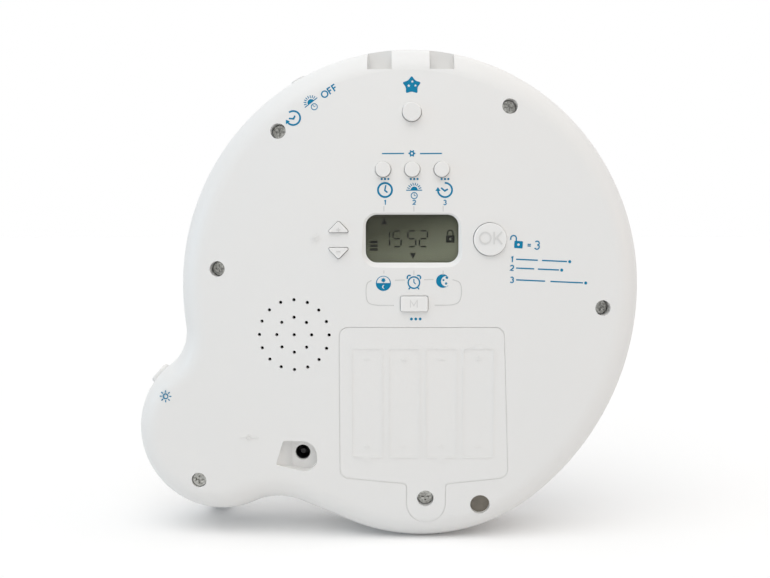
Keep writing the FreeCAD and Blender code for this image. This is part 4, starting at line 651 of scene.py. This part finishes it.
def display_glass():
    """The display's olive reflector, with the bezel's shade painted on it, darker towards its upper left
    corner.
    """
    made, tree, shader = new_material("lcd_reflector_painted_shade")
    low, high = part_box("lcd_panel")
    middle, half = (low + high) / 2, (high - low) / 2
    place = node(tree, "ShaderNodeTexCoord")
    along = node(tree, "ShaderNodeVectorMath", operation="DOT_PRODUCT")
    along.inputs[1].default_value = LCD_SHADE_FADES
    tree.links.new(place.outputs["Object"], along.inputs[0])
    across = Vector(LCD_SHADE_FADES)
    reach = abs(across.x) * half.x + abs(across.z) * half.z
    start, end = (middle.dot(across) + reach * fade for fade in LCD_SHADE_FADE_SPAN)
    # Painted shade of the bezel: where the display's colour moves from shaded to unshaded
    share = spread(tree, along.outputs["Value"], 0.0, 1.0, start, end)
    mottled = node(tree, "ShaderNodeMath", operation="MULTIPLY_ADD")
    mottled.inputs[1].default_value = LCD_MOTTLE
    tree.links.new(noise(tree, 300.0), mottled.inputs[0])
    tree.links.new(share, mottled.inputs[2])
    # The painted shade: the shaded colour at the upper left, the unshaded one at the lower right, with a
    # little random mottle
    colour = blend_colours(tree, mottled.outputs["Value"], LCD_SHADED, LCD_UNSHADED)
    tree.links.new(colour, shader.inputs["Base Color"])
    shader.inputs["Roughness"].default_value = 0.5
    shader.inputs["Specular IOR Level"].default_value = 0.2
    return made


def clear_window():
    """Clear acrylic with slightly uneven gloss and tint."""
    made, tree, shader = new_material("window_clear")
    shader.inputs["Transmission Weight"].default_value = 1.0
    shader.inputs["IOR"].default_value = WINDOW_IOR
    tree.links.new(spread(tree, noise(tree, 60.0), 0.0, 0.02), shader.inputs["Roughness"])
    tint = blend_colours(tree, noise(tree, 15.0), (0.96, 0.98, 0.96), (0.99, 1.0, 0.99))
    tree.links.new(tint, shader.inputs["Base Color"])
    return made


NODE_FINISH = {
    "shell": ("rear_shell", "front_shell", "lcd_holder"),
    "key": ("star_button", "time_button", "wake_button", "nap_button", "ok_button", "plus_button",
            "minus_button", "mode_button", "light_button", "slide_knob", "reflector", "lobe_cup"),
    "door": ("battery_door",),
    "screw": ("case_screws", "door_screw", "door_clip", "board_screws", "light_screws"),
    "plug": ("screw_plug",),
    "rubber": ("feet",),
    "opal": ("front_diffuser", "lobe_lens"),
    "amber": ("sun_lens",),
    "blue": ("moon_lens",),
    "board": ("led_board", "lobe_board", "main_board", "light_switch_board"),
    "led": ("leds", "lobe_led"),
    "window": ("lcd_window",),
    "lcd": ("lcd_panel",),
    "zebra": ("zebra_strips",),
    "black": ("board_chips", "tact_switches", "slide_switch", "dc_jack"),
    "foam": ("speaker_gasket",),
    "steel": ("speaker_basket",),
    "paper": ("speaker_cone",),
    "ferrite": ("speaker_magnet",),
    "zinc": ("battery_contacts",),
    "pin": ("dc_pin",),
    "cell": ("battery_cells",),
    "wire": ("battery_leads", "speaker_leads", "light_leads", "jack_leads"),
}


def finish_nodes(materials):
    for finish, names in NODE_FINISH.items():
        for name in names:
            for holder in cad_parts[name].material_slots:
                holder.material = materials[finish]


# Prints on the back, each at its pixel in the photograph. Icons: name, drawing, pixel and tilt in degrees.
STAR = ("star", star_icon(), 411.7, 85.4, 0.0)
BUTTON_ICONS = (
    ("time", clock_icon(), 385.0, 190.0, 0.0),
    ("wake", sunrise_icon(), 414.2, 190.2, 0.0),
    ("nap", back_arrow_icon(), 445.0, 190.0, 0.0),
)
MODE_ICONS = (
    ("day", day_night_icon(), 383.4, 283.4, 0.0),
    ("alarm", alarm_icon(), 413.9, 282.1, 0.0),
    ("night", crescent_icon(), 442.9, 281.0, 0.0),
    ("mode_dots", three_dots(1.7, 0.55), 415.8, 319.0, 0.0),
)
RIM_ICONS = (
    ("rim_nap", back_arrow_icon(), 293.2, 118.0, 35.0),
    ("rim_wake", sunrise_icon(), 311.0, 102.6, 38.0),
    ("rim_off", lettering("OFF", 2.7, 0.2), 329.0, 91.2, 34.0),
    ("lobe_sun", sun_icon(1.2, 2.45, 0.42), 165.5, 396.3, 0.0),
)

# Plain numbers under the upper icons, and dots over them
NUMBER_V = 202.3
NUMBER_SIZE = 1.9
NUMBER_WEIGHT = 0.2
DOTS_V = 179.0

# Cog between two lines, where a heading would stand
COG_AT = (411.9, 153.4)
COG_LINES = (((382.0, 153.6), (404.0, 153.4)), ((420.0, 153.6), (442.0, 153.4)))
COG_LINE_WIDTH = 0.45

# Thin grey lines: short ticks above and below the display, links between the mode icons, and brackets
LINE_WIDTH = 0.36
TICKS = (
    (383.9, (206.0, 211.5), (270.5, 273.5)),
    (413.9, (206.0, 211.5), (270.5, 275.0)),
    (443.1, (206.0, 211.5), (270.5, 275.0)),
)
LINKS = (((395.0, 280.2), (404.8, 280.0)), ((424.0, 279.7), (433.5, 279.5)))
BRACKETS = (
    ((371.5, 280.4), (366.2, 283.0), (365.8, 298.0), (369.5, 305.4), (394.0, 305.4)),
    ((452.5, 279.6), (461.2, 282.0), (461.8, 297.0), (457.0, 305.2), (434.5, 305.2)),
)

# Beside the OK key: three signs over three bars. A bar has the v of its start and the u of its end.
UNLOCK_TILT = -4.0
UNLOCK_SIGNS = (
    (padlock_icon(True), 518.5, 244.6),
    (lettering("=", 2.6, 0.16), 529.5, 245.2),
    (lettering("3", 3.4, 0.14), 537.3, 244.9),
)
BAR_START_U = 510.5
BAR_SLOPE = 0.045
BARS = ((259.0, 571.0), (267.8, 563.0), (279.6, 587.0))
BAR_WIDTH = 0.5
BAR_NUMBER_SIZE = 2.3

# Raised signs on the keys, with their height, and on the shell
KEY_SIGNS = (
    ("ok_button", lettering("OK", 4.8, 0.13), 490.9, 238.0, RELIEF_HEIGHT),
    ("mode_button", lettering("M", 3.1, 0.13), 413.8, 303.6, LOW_HEIGHT),
    ("plus_button", plus_sign(0.8, 0.42), 338.4, 229.8, RELIEF_HEIGHT),
    ("minus_button", minus_sign(0.8, 0.42), 338.2, 251.6, RELIEF_HEIGHT),
)
SHELL_SIGNS = (
    ("brightness", sun_icon(0.9, 2.2, 0.32), 315.8, 238.5),
    ("polarity", polarity_icon(), 249.0, 437.6),
)


def print_icons(materials, icons):
    for name, drawing, u, v, tilt in icons:
        mark("print_" + name, placed(drawing, *spot(u, v), tilt), materials["print"])


def print_button_icons(materials):
    """The icons between the upper keys and the display, each with its number and dots."""
    for number, icon in enumerate(BUTTON_ICONS, 1):
        u = icon[2]
        digit = lettering(str(number), NUMBER_SIZE, NUMBER_WEIGHT)
        below = (f"number_{number}", digit, u, NUMBER_V, 0.0)
        above = (f"dots_{number}", three_dots(1.3, 0.42), u, DOTS_V, 0.0)
        print_icons(materials, (icon, below, above))


def print_settings(materials):
    shapes = placed(cog_icon(), *spot(*COG_AT))
    shapes += [stroke([spot(*pixel) for pixel in line], COG_LINE_WIDTH) for line in COG_LINES]
    mark("print_settings", shapes, materials["print"])


def print_lines(materials):
    """Thin grey lines that tie the icons to the display and to the mode key."""
    pieces = list(LINKS)
    for u, above, below in TICKS:
        pieces += [[(u, top), (u, bottom)] for top, bottom in (above, below)]
    shapes = [stroke([spot(*pixel) for pixel in piece], LINE_WIDTH) for piece in pieces]
    shapes += [stroke([spot(*pixel) for pixel in smooth_line(piece)], LINE_WIDTH) for piece in BRACKETS]
    mark("print_lines", shapes, materials["line"])


def numbered_bar(number, length):
    """A number, a line in two parts and a dot at its end, from the origin along +X."""
    shapes = placed(lettering(str(number), BAR_NUMBER_SIZE, NUMBER_WEIGHT), 0.6, 0.0)
    for start, end in ((2.2, 0.45 * length), (0.52 * length, length - 1.6)):
        shapes.append(stroke([(start, 0.0), (end, 0.0)], BAR_WIDTH))
    shapes.append(disc(length - 0.5, 0.0, 0.6))
    return shapes


def print_unlock(materials):
    """An open padlock and a hold time of 3, over three numbered bars."""
    shapes = []
    for drawing, u, v in UNLOCK_SIGNS:
        shapes += placed(drawing, *spot(u, v), UNLOCK_TILT)
    for number, (v, end_u) in enumerate(BARS, 1):
        start = spot(BAR_START_U, v)
        end = spot(end_u, v + BAR_SLOPE * (end_u - BAR_START_U))
        lean = math.degrees(math.atan2(end[1] - start[1], end[0] - start[0]))
        shapes += placed(numbered_bar(number, math.dist(start, end)), *start, lean)
    mark("print_unlock", shapes, materials["print"])


def raise_signs(materials):
    """Raised signs on the keys, in a darker copy of the key white that paints the shade round their relief,
    and on the shell in the shell's white.
    """
    for name, drawing, u, v, height in KEY_SIGNS:
        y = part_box(name)[0].y / MM
        shapes = placed(drawing, *spot_at(u, v, y))
        mark("relief_" + name, shapes, materials["raised"], name, on_plane(y), height)
    for name, drawing, u, v in SHELL_SIGNS:
        shapes = placed(drawing, *spot(u, v))
        mark("relief_" + name, shapes, materials["relief"], height=RELIEF_HEIGHT)


def cell_outline(x, z, way):
    """One cell with its nub and signs. Its plus end is up if way is 1 and down if way is -1."""
    outer = rectangle(x, z, CELL_WIDTH, CELL_HEIGHT, CELL_CORNER)
    inner = rectangle(x, z, CELL_WIDTH - 2 * CELL_LINE, CELL_HEIGHT - 2 * CELL_LINE, CELL_INNER_CORNER)
    nub_z = z + way * (CELL_HEIGHT / 2 + NUB_HEIGHT / 2)
    nub = rectangle(x, nub_z, NUB_WIDTH, NUB_HEIGHT, NUB_CORNER)
    plus = plus_sign(CELL_SIGN_REACH, CELL_LINE, x, z + way * CELL_SIGN_Z)
    minus = minus_sign(CELL_SIGN_REACH, CELL_LINE, x, z - way * CELL_SIGN_Z)
    return [outer + inner, nub] + plus + minus


def raise_door_marks(materials):
    """Outlines of the four cells with their signs, raised on the battery door over the cells."""
    low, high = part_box("battery_cells")
    pitch = (high.x - low.x) / CELL_COUNT / MM
    middle_z = (low.z + high.z) / 2 / MM
    shapes = []
    for i in range(CELL_COUNT):
        shapes += cell_outline(low.x / MM + (i + 0.5) * pitch, middle_z, 1 if i % 2 else -1)
    shapes = [[dense_loop(loop) for loop in shape] for shape in shapes]
    mark("relief_door", shapes, materials["door"], "battery_door", height=RELIEF_HEIGHT)


def door_outline(inset, low_inset):
    """The battery door's outline with its screw tab, drawn in by an inset, and by another one below."""
    left, top = DOOR_LEFT + inset, DOOR_TOP - inset
    corner_z, shoulder_z, tab_z = (z + low_inset for z in (DOOR_CORNER_Z, SHOULDER_Z, TAB_END_Z))
    half = TAB_HALF - inset
    points = [(left, top), (left, corner_z)]
    points += [(TAB_X - half, shoulder_z), (TAB_X - half, tab_z)]
    points += [(TAB_X + half, tab_z), (TAB_X + half, shoulder_z)]
    points += [(DOOR_RIGHT_LOW - inset, corner_z), (DOOR_RIGHT - inset, top)]
    left_radii = [DOOR_ROUNDING, DOOR_ROUNDING, SHOULDER_ROUNDING, half * TAB_ROUND_SHARE]
    return fillet(points, left_radii + left_radii[::-1])


def seam_floor(x, z, lift):
    return on_dome(x, z, lift - SEAM_DEPTH)


def make_seam(materials):
    """The lip of the shell that the seam round the door shows, a little under the surface."""
    loops = [dense_loop(door_outline(*insets)) for insets in ((0.0, 0.0), (SEAM_WIDTH, SEAM_LOW_WIDTH))]
    mark("door_seam", [loops], materials["shell"], place=seam_floor)


# Display: digits by the bars that they show, and what stands round them, each at its pixel
SEGMENTS = {"1": "bc", "2": "abged", "5": "afgcd"}
DIGITS = (("1", 385.6), ("5", 397.1), ("5", 411.8), ("2", 423.4))
DIGIT_V = 238.7
DIGIT_WIDTH = 3.1
DIGIT_HEIGHT = 6.2
SEGMENT_WIDTH = 0.62
SEGMENT_GAP = 0.12
POINTERS = (
    ([(-1.35, -1.2), (1.35, -1.2), (0.0, 1.3)], 384.1, 221.3),
    ([(-1.2, 1.2), (1.2, 1.2), (0.0, -1.2)], 412.9, 256.0),
)
CLOSED_PADLOCK = (padlock_icon(False), 450.2, 239.0)
LEVEL_U = 373.9
LEVEL_SUN_V = 232.6
LEVEL_BARS_V = (242.0, 245.8, 249.5)


def segment(letter):
    """One bar of a seven-bar digit, about the digit's middle."""
    w, h, g = DIGIT_WIDTH / 2, DIGIT_HEIGHT / 2, SEGMENT_GAP + SEGMENT_WIDTH / 2
    ends = {
        "a": [(-w + g, h), (w - g, h)],
        "g": [(-w + g, 0.0), (w - g, 0.0)],
        "d": [(-w + g, -h), (w - g, -h)],
        "f": [(-w, g), (-w, h - g)],
        "b": [(w, g), (w, h - g)],
        "e": [(-w, -h + g), (-w, -g)],
        "c": [(w, -h + g), (w, -g)],
    }
    return stroke(ends[letter], SEGMENT_WIDTH)


def show_display(materials):
    """What the display shows: the time, two pointers, a closed padlock and the light level."""
    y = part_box("lcd_panel")[0].y / MM
    shown = [([segment(letter) for letter in SEGMENTS[digit]], u, DIGIT_V) for digit, u in DIGITS]
    shown += [([[corners]], u, v) for corners, u, v in POINTERS]
    shown.append(CLOSED_PADLOCK)
    shown += [([rectangle(0, 0, 3.0, 1.0, 0.1)], LEVEL_U, v) for v in LEVEL_BARS_V]
    shapes = []
    for drawing, u, v in shown:
        shapes += placed(drawing, *spot_at(u, v, y))
    mark("display_marks", shapes, materials["segment"], place=on_plane(y), height=LOW_HEIGHT)
    faint = placed(sun_icon(0.9, 1.8, 0.25), *spot_at(LEVEL_U, LEVEL_SUN_V, y))
    mark("display_faint_sun", faint, materials["faint"], place=on_plane(y), height=LOW_HEIGHT)


# Floor, light and camera. A lamp has the direction that it stands in, its width in degrees, its strength
# and its colour.
WORLD_LIGHT = 0.35
FLOOR_GLOW = 0.12
FLOOR_HALF = 60.0
LAMPS = (
    ("top_light", (0.05, -0.05, 1.0), 100.0, 1.05, (1.0, 1.0, 1.0)),
    ("front_light", (-0.12, -0.55, 0.8), 60.0, 1.05, (1.0, 0.985, 0.965)),
    ("left_light", (-0.95, -0.22, 0.1), 30.0, 0.4, (0.35, 0.7, 1.0)),
    ("right_light", (0.95, -0.22, 0.1), 30.0, 0.22, (1.0, 0.62, 0.35)),
)


def seen_directly(tree):
    """1 for rays from the camera, mirror rays and rays through glass, and 0 for light on surfaces."""
    path = node(tree, "ShaderNodeLightPath")
    total = path.outputs["Is Camera Ray"]
    for other in ("Is Glossy Ray", "Is Transmission Ray"):
        highest = node(tree, "ShaderNodeMath", operation="MAXIMUM")
        tree.links.new(total, highest.inputs[0])
        tree.links.new(path.outputs[other], highest.inputs[1])
        total = highest.outputs["Value"]
    return total


def floor_white():
    """White that glows a little where it is seen directly, so that the floor is as pale as the backdrop."""
    made, tree, shader = new_material("floor_white")
    white = blend_colours(tree, noise(tree, 6.0), (0.9, 0.9, 0.9), (0.92, 0.92, 0.92))
    tree.links.new(white, shader.inputs["Base Color"])
    shader.inputs["Roughness"].default_value = 0.9
    shader.inputs["Specular IOR Level"].default_value = 0.1
    glow = node(tree, "ShaderNodeEmission")
    tree.links.new(spread(tree, seen_directly(tree), 0.0, FLOOR_GLOW, 0.0, 1.0), glow.inputs["Strength"])
    both = node(tree, "ShaderNodeAddShader")
    tree.links.new(shader.outputs["BSDF"], both.inputs[0])
    tree.links.new(glow.outputs["Emission"], both.inputs[1])
    tree.links.new(both.outputs["Shader"], tree.nodes["Material Output"].inputs["Surface"])
    return made


def make_floor():
    mesh = bpy.data.meshes.new("floor")
    sides = ((-1, -1), (1, -1), (1, 1), (-1, 1))
    mesh.from_pydata([(x * FLOOR_HALF, y * FLOOR_HALF, 0) for x, y in sides], [], [(0, 1, 2, 3)])
    floor = bpy.data.objects.new("floor", mesh)
    bpy.context.scene.collection.objects.link(floor)
    mesh.materials.append(floor_white())


def make_world():
    world = bpy.data.worlds.new("studio")
    bpy.context.scene.world = world
    world.use_nodes = True
    tree = world.node_tree
    background = tree.nodes["Background"]
    background.inputs["Color"].default_value = (1.0, 1.0, 1.0, 1.0)
    strength = spread(tree, seen_directly(tree), WORLD_LIGHT, 1.0, 0.0, 1.0)
    tree.links.new(strength, background.inputs["Strength"])


def make_lamps():
    """Wide soft lamps, far away."""
    for name, towards, width, strength, colour in LAMPS:
        light = bpy.data.lights.new(name, "SUN")
        light.angle = math.radians(width)
        light.energy = strength
        light.color = colour
        lamp = bpy.data.objects.new(name, light)
        bpy.context.scene.collection.objects.link(lamp)
        lamp.rotation_euler = (-Vector(towards)).to_track_quat("-Z", "Y").to_euler()


def make_camera():
    data = bpy.data.cameras.new("camera")
    data.sensor_width = SENSOR
    data.lens = FOCAL_PX * SENSOR / IMAGE[0]
    camera = bpy.data.objects.new("camera", data)
    bpy.context.scene.collection.objects.link(camera)
    turn = camera_turn()
    right, down, ahead = turn.col[0], turn.col[1], turn.col[2]
    axes = Matrix((right, -down, -ahead)).transposed()
    camera.matrix_world = Matrix.Translation(Vector(CAMERA_AT) * MM) @ axes.to_4x4()
    bpy.context.scene.camera = camera


make_camera()
make_world()
make_lamps()
make_floor()
materials = make_materials()
finish_nodes(materials)
print_icons(materials, (STAR,))
print_button_icons(materials)
print_settings(materials)
print_icons(materials, MODE_ICONS)
print_lines(materials)
print_unlock(materials)
print_icons(materials, RIM_ICONS)
raise_signs(materials)
make_seam(materials)
raise_door_marks(materials)
show_display(materials)

bpy.context.scene.view_settings.view_transform = "Standard"
